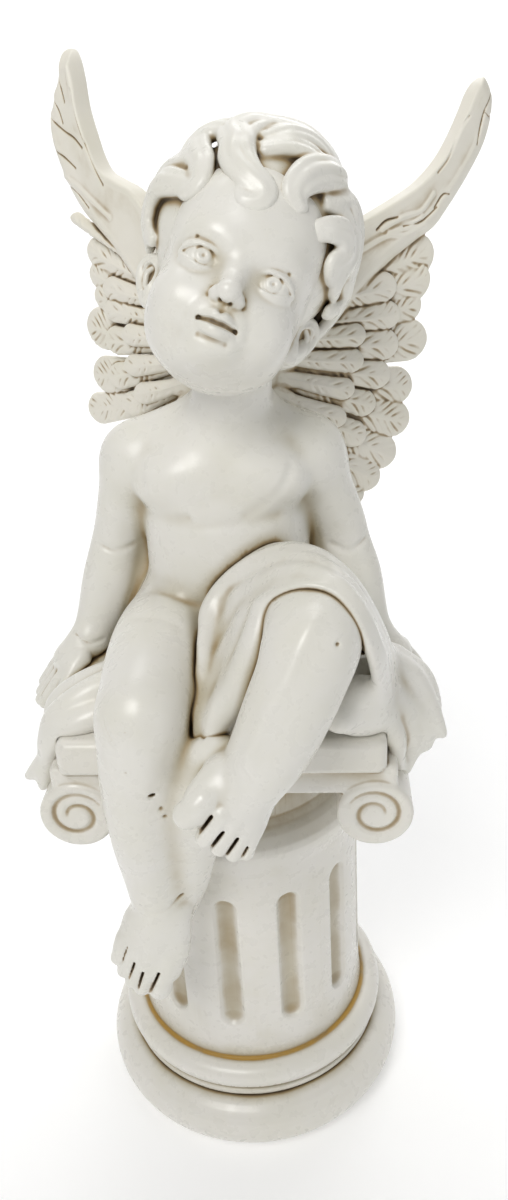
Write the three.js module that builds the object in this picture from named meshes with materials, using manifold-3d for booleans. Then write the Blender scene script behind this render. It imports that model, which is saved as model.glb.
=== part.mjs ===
// Cherub statue seated on a low Ionic column.
// Millimetres, +Z up. The statue faces -Y and its own left side is +X.
// The origin is the centre of the column's underside, so the statue stands on the plane z = 0.
//
// Four pieces, one mesh each:
//   column_plinth   foot mouldings, fluted drum, scroll bolsters and abacus
//   cherub_figure   child, hair, carved cloth and the web between the legs and the drum
//   wing_left       the wing on the statue's left
//   wing_right      the wing on the statue's right

import * as THREE from 'three';
import { mergeVertices } from 'three/addons/utils/BufferGeometryUtils.js';
import Module from 'manifold-3d';

const wasm = await Module();
wasm.setup();

// ---------------------------------------------------------------- driving dimensions

const GAP = 0.3;
const SLIVER = 0.4;
const DEGREE = Math.PI / 180;

const FOOT_RADIUS = 101;
const DRUM_RADIUS = 74;
const DRUM_BOTTOM = 62;
const DRUM_TOP = 222;
const NECK_RADIUS = 63;
const ABACUS_HALF = 86;
const ABACUS_BOTTOM = 290;
const ABACUS_TOP = 311;
const BAND_BOTTOM = 276;
const SCROLL = { x: 80, z: 263, radius: 20.5, turns: 1.9, groove: 3.2, depth: 3.5 };
const FLUTE = { count: 12, first: -5 * DEGREE, radius: 8.5, inset: 3.6, low: 96, high: 184 };
const DRUM_SIDES = 25;

const LIMB_SIDES = 7;

// Head: its own frame sits midway between the ears, facing -Y before it is turned.
const HEAD = { at: [11.5, -20, 513], lookUp: 27 * DEGREE, lean: 24 * DEGREE, turn: -1.5 * DEGREE };

// A wing's own plane starts at its root on the shoulder blade: s runs outward and back, t runs up.
// Each row of feathers fans from a straight line of roots to a curved line of tips.
const WINGS = {
  wing_left: {
    side: 1,
    root: [26, 34, 462],
    sweep: 30 * DEGREE,
    inner: [[-6, 30], [34, 66], [70, 84], [102, 97], [126, 118], [146, 143]],
    outer: [[154, 142], [155, 124], [140, 100], [113, 73], [76, 54], [24, 10], [-6, -4]],
    rows: [
      { count: 8, roots: [[34, 46], [6, -30]], tips: [[113, 62], [114, -4], [64, -76]], width: 23, layer: 0 },
      { count: 5, roots: [[24, 42], [6, -18]], tips: [[84, 46], [90, 4], [50, -52]], width: 17, layer: 1 },
      { count: 4, roots: [[10, 26], [0, -12]], tips: [[60, 22], [60, -4], [38, -38]], width: 15, layer: 2 },
    ],
  },
  wing_right: {
    side: -1,
    root: [-10, 34, 462],
    sweep: 42 * DEGREE,
    inner: [[-8, 34], [20, 84], [54, 106], [74, 118], [87, 141], [95, 163]],
    outer: [[104, 169], [112, 156], [122, 139], [114, 113], [92, 89], [58, 66], [12, 18], [-8, 0]],
    rows: [
      { count: 8, roots: [[30, 54], [4, -28]], tips: [[94, 70], [114, -6], [46, -74]], width: 20, layer: 0 },
      { count: 5, roots: [[24, 46], [10, -10]], tips: [[74, 50], [84, 8], [56, -34]], width: 16, layer: 1 },
      { count: 4, roots: [[10, 28], [2, -6]], tips: [[54, 26], [58, 4], [40, -24]], width: 14, layer: 2 },
    ],
  },
};
const FEATHER = { thick: 4.5, behind: 2, layer: 3.8, shingle: 0.6 };
const BLADE = { thick: 10.5, behind: 1 };
const WING_BOW = 0.0007;

// ---------------------------------------------------------------- helpers

const ball = (x, y, z, radius) => ({ at: new THREE.Vector3(x, y, z), radius });

function solid(geometry) {
  const bare = geometry.index ? geometry.toNonIndexed() : geometry.clone();
  bare.deleteAttribute('normal');
  bare.deleteAttribute('uv');
  const merged = mergeVertices(bare, 1e-4);
  const corners = merged.index.array;
  const kept = [];
  for (let i = 0; i < corners.length; i += 3) {
    const [a, b, c] = corners.subarray(i, i + 3);
    if (a !== b && b !== c && c !== a) kept.push(a, b, c);
  }
  return new wasm.Manifold(new wasm.Mesh({
    numProp: 3,
    vertProperties: merged.attributes.position.array,
    triVerts: new Uint32Array(kept),
  }));
}

const join = (solids) => solids.reduce((whole, next) => whole.add(next));

// The outer skin alone: pockets sealed between crossing folds are filled, and slivers are merged.
function filled(body) {
  const skins = body.simplify(SLIVER).decompose();
  return skins.reduce((best, next) => (next.volume() > best.volume() ? next : best));
}

function latheAlongZ(profile, sides) {
  const points = profile.map(([radius, height]) => new THREE.Vector2(radius, height));
  return new THREE.LatheGeometry(points, sides).rotateX(Math.PI / 2);
}

function ellipsoid([x, y, z], [rx, ry, rz], grow = 0, steps = 12) {
  const geometry = new THREE.SphereGeometry(1, steps, Math.round(steps * 0.6));
  geometry.rotateX(Math.PI / 2);
  geometry.scale(rx + grow, ry + grow, rz + grow);
  return geometry.translate(x, y, z);
}

// A round bar whose radius runs from one ball's to the next one's, closed by both balls.
function taperedBar(start, end, grow = 0, sides = 6, steps = 1) {
  const a = start.radius + grow;
  const b = end.radius + grow;
  const axis = end.at.clone().sub(start.at);
  const length = axis.length();
  const lean = Math.asin(THREE.MathUtils.clamp((a - b) / length, -0.95, 0.95));
  const points = [];
  for (let i = 0; i <= steps; i += 1) {
    const angle = THREE.MathUtils.lerp(-Math.PI / 2, lean, i / steps);
    points.push(new THREE.Vector2(i ? a * Math.cos(angle) : 0, a * Math.sin(angle)));
  }
  for (let i = 0; i <= steps; i += 1) {
    const angle = THREE.MathUtils.lerp(lean, Math.PI / 2, i / steps);
    points.push(new THREE.Vector2(i < steps ? b * Math.cos(angle) : 0, length + b * Math.sin(angle)));
  }
  const geometry = new THREE.LatheGeometry(points, sides);
  const up = new THREE.Vector3(0, 1, 0);
  geometry.applyQuaternion(new THREE.Quaternion().setFromUnitVectors(up, axis.normalize()));
  return geometry.translate(start.at.x, start.at.y, start.at.z);
}

// A mirrored geometry has its triangles turned round, so that they face out again.
function facingOut(geometry, side) {
  if (side > 0) return geometry;
  const flat = geometry.index ? geometry.toNonIndexed() : geometry;
  const position = flat.attributes.position;
  const held = new THREE.Vector3();
  const other = new THREE.Vector3();
  for (let i = 0; i < position.count; i += 3) {
    held.fromBufferAttribute(position, i + 1);
    other.fromBufferAttribute(position, i + 2);
    position.setXYZ(i + 1, other.x, other.y, other.z);
    position.setXYZ(i + 2, held.x, held.y, held.z);
  }
  return flat;
}

// A limb: rings that follow a smooth route through the balls, closed by a round cap at each end.
// flat squeezes the section across the route's sideways direction, which is level with X.
// The corners stand outside the true radius, so that the flat sides lie as far inside it.
function smoothLimb(balls, grow = 0, { sides = LIMB_SIDES, perBall = 2, flat = 1 } = {}) {
  const route = new THREE.CatmullRomCurve3(balls.map((each) => each.at), false, 'centripetal');
  const spans = balls.length - 1;
  const cornerScale = 2 / (1 + Math.cos(Math.PI / sides));
  const rings = [{ t: 0, cap: -1 }, { t: 0, cap: -0.6 }];
  for (let i = 0; i <= spans * perBall; i += 1) rings.push({ t: i / (spans * perBall), cap: 0 });
  rings.push({ t: 1, cap: 0.6 }, { t: 1, cap: 1 });
  const sideways = new THREE.Vector3(1, 0, 0);
  const points = rings.map((ring) => new THREE.Vector2(1 - Math.abs(ring.cap) === 0 ? 0 : 1, ring.t));
  const geometry = new THREE.LatheGeometry(points, sides);
  const position = geometry.attributes.position;
  for (let j = 0; j < rings.length; j += 1) {
    const { t, cap } = rings[j];
    const place = t * spans;
    const index = Math.min(Math.floor(place), spans - 1);
    const blend = THREE.MathUtils.smoothstep(place - index, 0, 1);
    const full = THREE.MathUtils.lerp(balls[index].radius, balls[index + 1].radius, blend) + grow;
    const radius = full * cornerScale * Math.sqrt(1 - cap * cap);
    const tangent = route.getTangent(t);
    const across = sideways.clone().addScaledVector(tangent, -sideways.dot(tangent)).normalize();
    const outward = new THREE.Vector3().crossVectors(tangent, across);
    const middle = route.getPoint(t).addScaledVector(tangent, cap * full);
    for (let i = 0; i <= sides; i += 1) {
      const angle = ((i % sides) / sides) * 2 * Math.PI;
      const spot = middle.clone().addScaledVector(across, radius * Math.cos(angle));
      spot.addScaledVector(outward, radius * flat * Math.sin(angle));
      position.setXYZ(i * rings.length + j, spot.x, spot.y, spot.z);
    }
  }
  return solid(geometry);
}

function namedMesh(name, body, material) {
  const mesh = body.getMesh();
  const geometry = new THREE.BufferGeometry();
  geometry.setAttribute('position', new THREE.BufferAttribute(mesh.vertProperties, 3));
  geometry.setIndex(new THREE.BufferAttribute(mesh.triVerts, 1));
  geometry.computeVertexNormals();
  const result = new THREE.Mesh(geometry, material);
  result.name = name;
  return result;
}

// ---------------------------------------------------------------- column

// A half-round moulding between two heights, bulging to the given radius.
function torusProfile(low, high, radius, steps = 3) {
  const middle = (low + high) / 2;
  const bulge = (high - low) / 2;
  const points = [];
  for (let i = 0; i <= steps; i += 1) {
    const angle = THREE.MathUtils.lerp(-Math.PI / 2, Math.PI / 2, i / steps);
    points.push([radius - bulge + bulge * Math.cos(angle), middle + bulge * Math.sin(angle)]);
  }
  return points;
}

function columnProfile(grow) {
  const outline = [
    [FOOT_RADIUS - 6, 0],
    ...torusProfile(4, 38, FOOT_RADIUS),
    [FOOT_RADIUS - 14, 42],
    ...torusProfile(46, DRUM_BOTTOM, FOOT_RADIUS - 12),
    [DRUM_RADIUS + 1.5, DRUM_BOTTOM + 1],
    [DRUM_RADIUS, DRUM_BOTTOM + 7],
    [DRUM_RADIUS - 1, DRUM_TOP - 22],
    [DRUM_RADIUS + 2, DRUM_TOP],
    [DRUM_RADIUS + 1, DRUM_TOP + 5],
    [NECK_RADIUS + 4, DRUM_TOP + 16],
    [NECK_RADIUS, DRUM_TOP + 20],
    [NECK_RADIUS, ABACUS_BOTTOM + 2],
  ];
  const grown = outline.map(([radius, height]) => [radius + grow, height]);
  return [[0, 0], ...grown, [0, ABACUS_BOTTOM + 2]];
}

function roundedSlab(halfX, halfY, low, high, edge) {
  const shape = new THREE.Shape();
  const x = halfX - edge;
  const y = halfY - edge;
  shape.moveTo(-x, -y);
  shape.lineTo(x, -y);
  shape.lineTo(x, y);
  shape.lineTo(-x, y);
  shape.closePath();
  const geometry = new THREE.ExtrudeGeometry(shape, {
    depth: high - low - 2 * edge, bevelThickness: edge, bevelSize: edge, bevelSegments: 1, steps: 1,
  });
  return solid(geometry.translate(0, 0, low + edge));
}

function scrollBolster(side, grow) {
  const length = 2 * (ABACUS_HALF - 1) + 2 * grow;
  const geometry = new THREE.CylinderGeometry(SCROLL.radius + grow, SCROLL.radius + grow, length, 14);
  return solid(geometry.translate(side * SCROLL.x, 0, SCROLL.z));
}

// The carved spiral of a scroll: a ribbon that winds in from the band to the eye.
function scrollGroove(side, face) {
  const steps = 15;
  const outer = [];
  const inner = [];
  for (let i = 0; i <= steps; i += 1) {
    const turn = i / steps;
    const angle = Math.PI / 2 - turn * SCROLL.turns * 2 * Math.PI;
    const radius = THREE.MathUtils.lerp(SCROLL.radius * 0.72, SCROLL.radius * 0.16, turn);
    const half = (SCROLL.groove / 2) * (1 - 0.5 * turn);
    outer.push([(radius + half) * Math.cos(angle), (radius + half) * Math.sin(angle)]);
    inner.push([(radius - half) * Math.cos(angle), (radius - half) * Math.sin(angle)]);
  }
  const ring = [...outer, ...inner.reverse()].map(([x, z]) => new THREE.Vector2(side * x, z));
  const geometry = new THREE.ExtrudeGeometry(new THREE.Shape(ring), {
    depth: 2 * SCROLL.depth, bevelEnabled: false,
  });
  geometry.rotateX(Math.PI / 2);
  geometry.translate(side * SCROLL.x, face * (ABACUS_HALF - 1) + SCROLL.depth, SCROLL.z);
  return solid(geometry);
}

function columnBlank(grow = 0) {
  return join([
    solid(latheAlongZ(columnProfile(grow), DRUM_SIDES)),
    roundedSlab(ABACUS_HALF + grow, ABACUS_HALF + grow, ABACUS_BOTTOM - grow, ABACUS_TOP + grow, 3),
    roundedSlab(SCROLL.x + grow, ABACUS_HALF - 3 + grow, BAND_BOTTOM - grow, ABACUS_BOTTOM + 4, 1.5),
    scrollBolster(-1, grow),
    scrollBolster(1, grow),
  ]);
}

function flute(index) {
  const angle = FLUTE.first + (index * 2 * Math.PI) / FLUTE.count;
  const reach = DRUM_RADIUS + FLUTE.radius - FLUTE.inset;
  const x = reach * Math.sin(angle);
  const y = -reach * Math.cos(angle);
  return solid(taperedBar(ball(x, y, FLUTE.low, FLUTE.radius), ball(x, y, FLUTE.high, FLUTE.radius), 0, 6, 1));
}

function columnPlinth() {
  let body = columnBlank();
  for (let index = 0; index < FLUTE.count; index += 1) body = body.subtract(flute(index));
  for (const side of [-1, 1]) {
    for (const face of [-1, 1]) body = body.subtract(scrollGroove(side, face));
  }
  return body;
}

// ---------------------------------------------------------------- figure

const ARMS = {
  right: [ball(-44, 3, 434, 19), ball(-54, 7, 408, 14.5), ball(-61, 9, 380, 14), ball(-67, 5, 362, 15),
    ball(-74, -3, 343, 12), ball(-80, -11, 331, 9.5)],
  left: [ball(50, 4, 434, 19), ball(60, 9, 406, 14.5), ball(68, 10, 380, 14), ball(73, 5, 362, 15),
    ball(79, -5, 343, 12), ball(83, -12, 331, 9.5)],
};

const LEGS = {
  right: [ball(-24, -8, 340, 30), ball(-31, -62, 347, 25), ball(-33, -106, 345, 21.5), ball(-35, -110, 322, 20),
    ball(-39, -108, 290, 18), ball(-42, -104, 252, 14.5), ball(-43, -101, 224, 11.5)],
  left: [ball(30, -10, 342, 31), ball(41, -58, 366, 27), ball(50, -98, 381, 22.5), ball(44, -112, 366, 21.5),
    ball(34, -122, 347, 20.5), ball(22, -131, 327, 17), ball(14, -136, 313, 13.5)],
};

// A foot: heel and ball ellipsoids, then five toes side by side from the big toe to the little one.
const FEET = {
  right: { heel: ball(-42, -92, 208, 12.5), instep: ball(-46, -104, 196, 12), pad: ball(-48, -108, 181, 14),
    across: [-1, 0.1, 0.2], along: [-0.15, -0.35, -0.93], toe: 6.2 },
  left: { heel: ball(20, -124, 308, 12.5), instep: ball(9, -138, 306, 12), pad: ball(3, -145, 302, 13.5),
    across: [0.82, -0.12, -0.5], along: [-0.42, -0.5, -0.75], toe: 6.2 },
};

// A hand: the palm and four fingers that spread over the seat's edge.
const HANDS = {
  right: { wrist: ball(-80, -11, 331, 9.5), palm: ball(-90, -19, 322, 11), across: [0.35, -0.9, 0.1],
    along: [-0.75, -0.3, -0.6], finger: 4.4 },
  left: { wrist: ball(83, -12, 331, 9.5), palm: ball(92, -19, 322, 11), across: [-0.35, -0.9, 0.1],
    along: [0.7, -0.3, -0.65], finger: 4.4 },
};

// Pelvis, waist, chest, shoulder line and neck, as wide as the body and squeezed front to back.
const TRUNK = [ball(4, 4, 330, 45), ball(4, 1, 350, 50), ball(4, -3, 376, 47), ball(4, -1, 404, 45),
  ball(4, 1, 428, 48), ball(6, 2, 446, 41), ball(9, -3, 459, 25), ball(12, -12, 490, 22)];
const TRUNK_FLAT = 0.82;
const TRUNK_SIDES = 11;

const SOFT_FORMS = [
  { at: [-18, -12, 431], size: [25, 18, 17] },
  { at: [26, -12, 431], size: [25, 18, 17] },
  { at: [-22, 18, 338], size: [29, 28, 28] },
  { at: [28, 18, 338], size: [29, 28, 28] },
];

// Material left between the calf, the left foot and the drum.
const LEG_WEB = [ball(-2, -112, 318, 15), ball(-14, -98, 284, 18), ball(-23, -86, 244, 15), ball(-30, -82, 214, 9)];

function foot(spec, grow) {
  const across = new THREE.Vector3(...spec.across).normalize();
  const along = new THREE.Vector3(...spec.along).normalize();
  const parts = [smoothLimb([spec.heel, spec.instep, spec.pad], grow, { sides: 6, perBall: 1 })];
  for (let toe = 0; toe < 5; toe += 1) {
    const big = toe === 0 ? 1.25 : 1 - 0.06 * toe;
    const shift = across.clone().multiplyScalar((toe - 1.7) * spec.toe * 1.15);
    const root = spec.pad.at.clone().add(shift).addScaledVector(along, 2);
    const tip = root.clone().addScaledVector(along, 14 - 1.6 * toe);
    const start = { at: root, radius: spec.toe * big * 1.15 };
    parts.push(solid(taperedBar(start, { at: tip, radius: spec.toe * big * 0.85 }, grow, 5)));
  }
  return join(parts);
}

function hand(spec, grow) {
  const across = new THREE.Vector3(...spec.across).normalize();
  const along = new THREE.Vector3(...spec.along).normalize();
  const parts = [solid(taperedBar(spec.wrist, spec.palm, grow, 7))];
  for (let finger = 0; finger < 4; finger += 1) {
    const shift = across.clone().multiplyScalar((finger - 1.2) * spec.finger * 1.7);
    const root = spec.palm.at.clone().add(shift);
    const tip = root.clone().addScaledVector(along, 20 - 2.5 * Math.abs(finger - 1.5));
    const start = { at: root, radius: spec.finger * 1.35 };
    parts.push(solid(taperedBar(start, { at: tip, radius: spec.finger }, grow, 5)));
  }
  return join(parts);
}

function headMatrix() {
  const turned = new THREE.Matrix4().makeRotationZ(HEAD.turn);
  turned.multiply(new THREE.Matrix4().makeRotationY(HEAD.lean));
  turned.multiply(new THREE.Matrix4().makeRotationX(-HEAD.lookUp));
  return turned.setPosition(...HEAD.at);
}

// Face, jaw, cheeks, nose and lips, in the head's own frame.
const HEAD_FORMS = [
  { at: [0, -7, -2], size: [34, 36, 33], steps: 10 },
  { at: [0, -4, 30], size: [37, 39, 38], steps: 8 },
  { at: [0, -33, -24], size: [13, 11, 10], steps: 6 },
  { at: [-16, -25, -12], size: [17, 16, 17], steps: 6 },
  { at: [16, -25, -12], size: [17, 16, 17], steps: 6 },
  { at: [0, -43, -1], size: [5, 8, 6], steps: 6 },
  { at: [0, -41, -14], size: [8, 5, 4], steps: 6 },
];

function head(grow) {
  const forms = HEAD_FORMS.map((form) => solid(ellipsoid(form.at, form.size, grow, form.steps)));
  for (const side of [-1, 1]) {
    const ear = new THREE.SphereGeometry(1, 6, 4).scale(4.5 + grow, 8 + grow, 12 + grow);
    ear.rotateZ(side * 25 * DEGREE);
    forms.push(solid(ear.translate(side * 37, 4, -3)));
  }
  return join(forms);
}

// The hair's mass: a ball whose surface rises and falls in locks that spiral from the crown.
const HAIR = { at: [0, 12, 36], size: [42, 47, 49], locks: 9, wave: 0.1, twist: 2.2, sides: 18, rings: 7 };

function hair(grow) {
  const geometry = new THREE.SphereGeometry(1, HAIR.sides, HAIR.rings).rotateX(Math.PI / 2);
  const position = geometry.attributes.position;
  const spot = new THREE.Vector3();
  for (let i = 0; i < position.count; i += 1) {
    spot.fromBufferAttribute(position, i);
    const around = Math.atan2(spot.y, spot.x);
    const level = Math.hypot(spot.x, spot.y);
    const wave = HAIR.wave * Math.abs(Math.sin(0.5 * (HAIR.locks * around + HAIR.twist * spot.z))) * level;
    const [rx, ry, rz] = HAIR.size;
    spot.multiply(new THREE.Vector3(rx, ry, rz)).multiplyScalar(1 + wave).addScaledVector(spot, grow / rx);
    position.setXYZ(i, spot.x + HAIR.at[0], spot.y + HAIR.at[1], spot.z + HAIR.at[2]);
  }
  return solid(geometry);
}

// Curls that leave the mass: over the forehead, at the temples and down behind the ears.
const CURLS = [
  [ball(0, -26, 78, 10), ball(-2, -36, 64, 8.5), ball(3, -39, 51, 6)],
  [ball(-24, -20, 66, 10), ball(-35, -20, 48, 8.5), ball(-40, -12, 28, 7), ball(-40, 2, 14, 6)],
  [ball(22, -22, 68, 10), ball(32, -24, 52, 9), ball(38, -18, 32, 8), ball(39, -4, 16, 7)],
  [ball(36, 14, 20, 12), ball(40, 20, -6, 11), ball(37, 20, -28, 9)],
  [ball(-36, 16, 20, 12), ball(-40, 22, -4, 10), ball(-34, 22, -20, 7)],
];

function headWithHair(grow) {
  const faceRoom = solid(ellipsoid([0, -46, 6], [32, 34, 38], -grow, 9));
  const curls = CURLS.map((balls) => smoothLimb(balls, grow, { sides: 5, perBall: 1 }));
  const whole = join([hair(grow).subtract(faceRoom), head(grow), ...curls]);
  return whole.transform(headMatrix().elements);
}

// ---------------------------------------------------------------- cloth

// The cloth over the left thigh: a sleeve around the thigh whose rings rise and fall as folds.
const LAP = { from: ball(29, -6, 346, 33), to: ball(41, -60, 368, 28), folds: 3, rise: 4.5, sides: 10 };

function lapCloth(grow) {
  const steps = LAP.folds * 2 + 1;
  const balls = [];
  for (let i = 0; i <= steps; i += 1) {
    const along = i / steps;
    const at = LAP.from.at.clone().lerp(LAP.to.at, along);
    const rise = i % 2 ? LAP.rise : 0;
    balls.push({ at, radius: THREE.MathUtils.lerp(LAP.from.radius, LAP.to.radius, along) + rise });
  }
  return smoothLimb(balls, grow, { sides: LAP.sides, perBall: 1 });
}

// The cloth's tail between the thighs, gathered into rolls that run down to the groin.
const TAILS = [
  [ball(14, -40, 372, 9), ball(2, -62, 350, 8), ball(-4, -80, 330, 6)],
  [ball(24, -56, 380, 9), ball(12, -76, 358, 8), ball(6, -92, 338, 6)],
];

// Cloth that spills over one side of the seat: a wavy sheet that thins and flares to its hem.
// The hem is lowest at the front corner and rises towards the back.
const FALLS = {
  right: { side: -1, from: -68, to: 56, waves: 2.5, flare: 17, low: 270, rise: 5 },
  left: { side: 1, from: -66, to: 58, waves: 2.5, flare: 24, low: 277, rise: 5 },
};
const FALL = { top: ABACUS_TOP + 8, inside: 20, thick: 6, backLift: 12, levels: 3 };

function sideFall(fall, grow) {
  const steps = fall.waves * 4;
  const alongHem = (i) => THREE.MathUtils.lerp(fall.from - grow, fall.to + grow, i / steps);
  const shape = new THREE.Shape();
  shape.moveTo(-1, alongHem(0));
  for (let i = 0; i <= steps; i += 1) shape.lineTo(0, alongHem(i));
  for (let i = steps; i > 0; i -= 1) shape.lineTo(-1, alongHem(i));
  shape.closePath();
  const geometry = new THREE.ExtrudeGeometry(shape, { depth: 1, steps: FALL.levels, bevelEnabled: false });
  const position = geometry.attributes.position;
  for (let i = 0; i < position.count; i += 1) {
    const drop = 1 - position.getZ(i);
    const y = position.getY(i);
    const along = (y - fall.from) / (fall.to - fall.from);
    const wave = Math.cos(along * fall.waves * 2 * Math.PI) * fall.rise * drop;
    const outside = ABACUS_HALF + FALL.thick + grow + fall.flare * drop * drop + wave;
    const thickness = FALL.thick + 2 * grow + FALL.inside * (1 - drop);
    const x = outside + position.getX(i) * thickness;
    const hem = fall.low + FALL.backLift * along ** 2 - 1.5 * wave;
    const z = THREE.MathUtils.lerp(FALL.top + grow, hem - grow, drop);
    position.setXYZ(i, x * fall.side, y, z);
  }
  return solid(facingOut(geometry, fall.side));
}

function cloth(grow) {
  return join([
    lapCloth(grow),
    ...TAILS.map((balls) => smoothLimb(balls, grow, { sides: 6, perBall: 1 })),
    sideFall(FALLS.right, grow),
    sideFall(FALLS.left, grow),
    solid(ellipsoid([4, 0, ABACUS_TOP], [92, 74, 12], grow, 10)),
  ]);
}

function figureBody(grow = 0) {
  return join([
    smoothLimb(TRUNK, grow, { sides: TRUNK_SIDES, perBall: 1, flat: TRUNK_FLAT }),
    ...SOFT_FORMS.map((form) => solid(ellipsoid(form.at, form.size, grow, 8))),
    smoothLimb(ARMS.right, grow, { perBall: 1 }),
    smoothLimb(ARMS.left, grow, { perBall: 1 }),
    smoothLimb(LEGS.right, grow),
    smoothLimb(LEGS.left, grow),
    smoothLimb(LEG_WEB, grow, { sides: 8, perBall: 1 }),
    foot(FEET.right, grow),
    foot(FEET.left, grow),
    hand(HANDS.right, grow),
    hand(HANDS.left, grow),
    headWithHair(grow),
    cloth(grow),
  ]);
}

// ---------------------------------------------------------------- wings

// A feather's outline, from its root at the origin to a blunt tip along +s.
function featherShape(length, width) {
  const side = [[0, 0.3], [0.86, 0.48], [1, 0.18]].map(([s, t]) => new THREE.Vector2(s * length, t * width));
  const mirrored = side.map((corner) => new THREE.Vector2(corner.x, -corner.y));
  return new THREE.Shape([...mirrored, ...side.reverse()]);
}

// The long blade that sweeps up past the head, between its inner and its outer edge.
function bladeShape(wing) {
  const outline = new THREE.CatmullRomCurve3(
    [...wing.inner, ...wing.outer].map(([s, t]) => new THREE.Vector3(s, t, 0)), true, 'centripetal',
  );
  const count = 2 * (wing.inner.length + wing.outer.length);
  const corners = outline.getPoints(count).slice(0, -1);
  return new THREE.Shape(corners.map((corner) => new THREE.Vector2(corner.x, corner.y)));
}

function extrudedInWing(shape, thickness) {
  return new THREE.ExtrudeGeometry(shape, { depth: thickness, bevelEnabled: false });
}

// One row of feathers, spaced evenly from its upper end to its lower end.
function featherRow(row) {
  const [firstRoot, lastRoot] = row.roots.map(([s, t]) => new THREE.Vector2(s, t));
  const tips = new THREE.QuadraticBezierCurve(...row.tips.map(([s, t]) => new THREE.Vector2(s, t)));
  const feathers = [];
  for (let i = 0; i < row.count; i += 1) {
    const step = i / (row.count - 1);
    const root = firstRoot.clone().lerp(lastRoot, step);
    const reach = tips.getPoint(step).sub(root);
    const feather = extrudedInWing(featherShape(reach.length(), row.width), FEATHER.thick);
    feather.rotateZ(reach.angle());
    const forward = FEATHER.layer * row.layer + FEATHER.shingle * (i % 2) - FEATHER.behind;
    feathers.push(feather.translate(root.x, root.y, forward));
  }
  return feathers;
}

// Turns the flat wing into its place: swept back, mirrored by side and bowed towards the head.
function wingWarp(geometry, wing) {
  const position = geometry.attributes.position;
  for (let i = 0; i < position.count; i += 1) {
    const s = position.getX(i);
    const t = position.getY(i);
    const forward = position.getZ(i);
    const bow = (s * s + t * t) * WING_BOW;
    const x = s * Math.cos(wing.sweep) + (forward - bow) * Math.sin(wing.sweep);
    const y = s * Math.sin(wing.sweep) - (forward + bow) * Math.cos(wing.sweep);
    position.setXYZ(i, wing.root[0] + wing.side * x, wing.root[1] + y, wing.root[2] + t);
  }
  return geometry;
}

function wingBody(wing, figureRoom) {
  const blade = extrudedInWing(bladeShape(wing), BLADE.thick).translate(0, 0, -BLADE.behind);
  const flat = [blade, ...wing.rows.flatMap(featherRow)];
  const pieces = flat.map((piece) => solid(facingOut(wingWarp(piece, wing), wing.side)));
  const shoulder = ellipsoid([wing.root[0], wing.root[1] - 2, wing.root[2] - 20], [13, 12, 30], 0, 10);
  return filled(join([...pieces, solid(shoulder)]).subtract(figureRoom));
}

// ---------------------------------------------------------------- assembly

const painted = (color, roughness) => new THREE.MeshStandardMaterial({ color, roughness, metalness: 0 });

const figure = filled(figureBody().subtract(columnBlank(GAP)));
const figureRoom = figureBody(GAP);

const group = new THREE.Group();
group.add(namedMesh('column_plinth', filled(columnPlinth()), painted(0xe6e2da, 0.42)));
group.add(namedMesh('cherub_figure', figure, painted(0xece8e0, 0.4)));
for (const [name, wing] of Object.entries(WINGS)) {
  group.add(namedMesh(name, wingBody(wing, figureRoom), painted(0xe4dccb, 0.5)));
}

export default group;
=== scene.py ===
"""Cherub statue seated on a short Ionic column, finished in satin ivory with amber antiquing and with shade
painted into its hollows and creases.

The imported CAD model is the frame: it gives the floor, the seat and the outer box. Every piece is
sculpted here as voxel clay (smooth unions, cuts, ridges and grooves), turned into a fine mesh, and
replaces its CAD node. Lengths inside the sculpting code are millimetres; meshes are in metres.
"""
import logging
import math
from dataclasses import dataclass
from enum import Enum
from typing import Callable, Iterable, Sequence

import bpy
import numpy as np
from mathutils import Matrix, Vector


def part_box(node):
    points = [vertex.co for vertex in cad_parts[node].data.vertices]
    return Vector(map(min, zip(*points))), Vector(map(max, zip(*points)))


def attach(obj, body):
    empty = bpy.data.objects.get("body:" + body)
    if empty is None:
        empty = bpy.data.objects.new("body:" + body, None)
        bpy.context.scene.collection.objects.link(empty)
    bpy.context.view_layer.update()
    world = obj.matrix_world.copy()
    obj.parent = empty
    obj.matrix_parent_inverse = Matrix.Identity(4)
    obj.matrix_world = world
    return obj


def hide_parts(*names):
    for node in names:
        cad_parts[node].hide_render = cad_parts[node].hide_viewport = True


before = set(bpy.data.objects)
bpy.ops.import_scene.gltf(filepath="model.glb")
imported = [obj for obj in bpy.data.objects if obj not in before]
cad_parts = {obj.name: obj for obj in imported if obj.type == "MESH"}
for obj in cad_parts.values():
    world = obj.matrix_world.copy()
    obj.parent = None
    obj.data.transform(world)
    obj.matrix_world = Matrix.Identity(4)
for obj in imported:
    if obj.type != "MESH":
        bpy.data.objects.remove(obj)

import openvdb
from mathutils import Matrix, Vector

logging.basicConfig(level=logging.INFO, format="%(message)s")
LOG = logging.getLogger("cherub")

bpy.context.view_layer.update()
MM = 0.001

Point = tuple[float, float, float]
Knot = tuple[float, float, float, float]
Grid = np.ndarray


# ------------------------------------------------------------------ clay

FAR = 40.0
RIM_VOXELS = 5  # voxels past a form whose distance is still kept


def soft_min(a: Grid, b: Grid, blend: float) -> Grid:
    """Join two distance fields with a rounded seam.

    Args:
        a: First distance field.
        b: Second distance field.
        blend: Width of the rounded seam in millimetres; 0 leaves it sharp.

    Returns:
        The joined field.
    """
    if blend <= 0.0:
        return np.minimum(a, b)
    near = np.maximum(blend - np.abs(a - b), 0.0) / blend
    return np.minimum(a, b) - near * near * (blend * 0.25)


def rotation(degrees: Point) -> np.ndarray:
    """Build a rotation matrix from turns about X, then Y, then Z.

    Args:
        degrees: The three turns in degrees.

    Returns:
        A 3x3 matrix that takes local directions to outer ones.
    """
    turns = [Matrix.Rotation(math.radians(d), 3, axis) for d, axis in zip(degrees, "XYZ")]
    return np.array(turns[2] @ turns[1] @ turns[0], dtype=np.float32)


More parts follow.
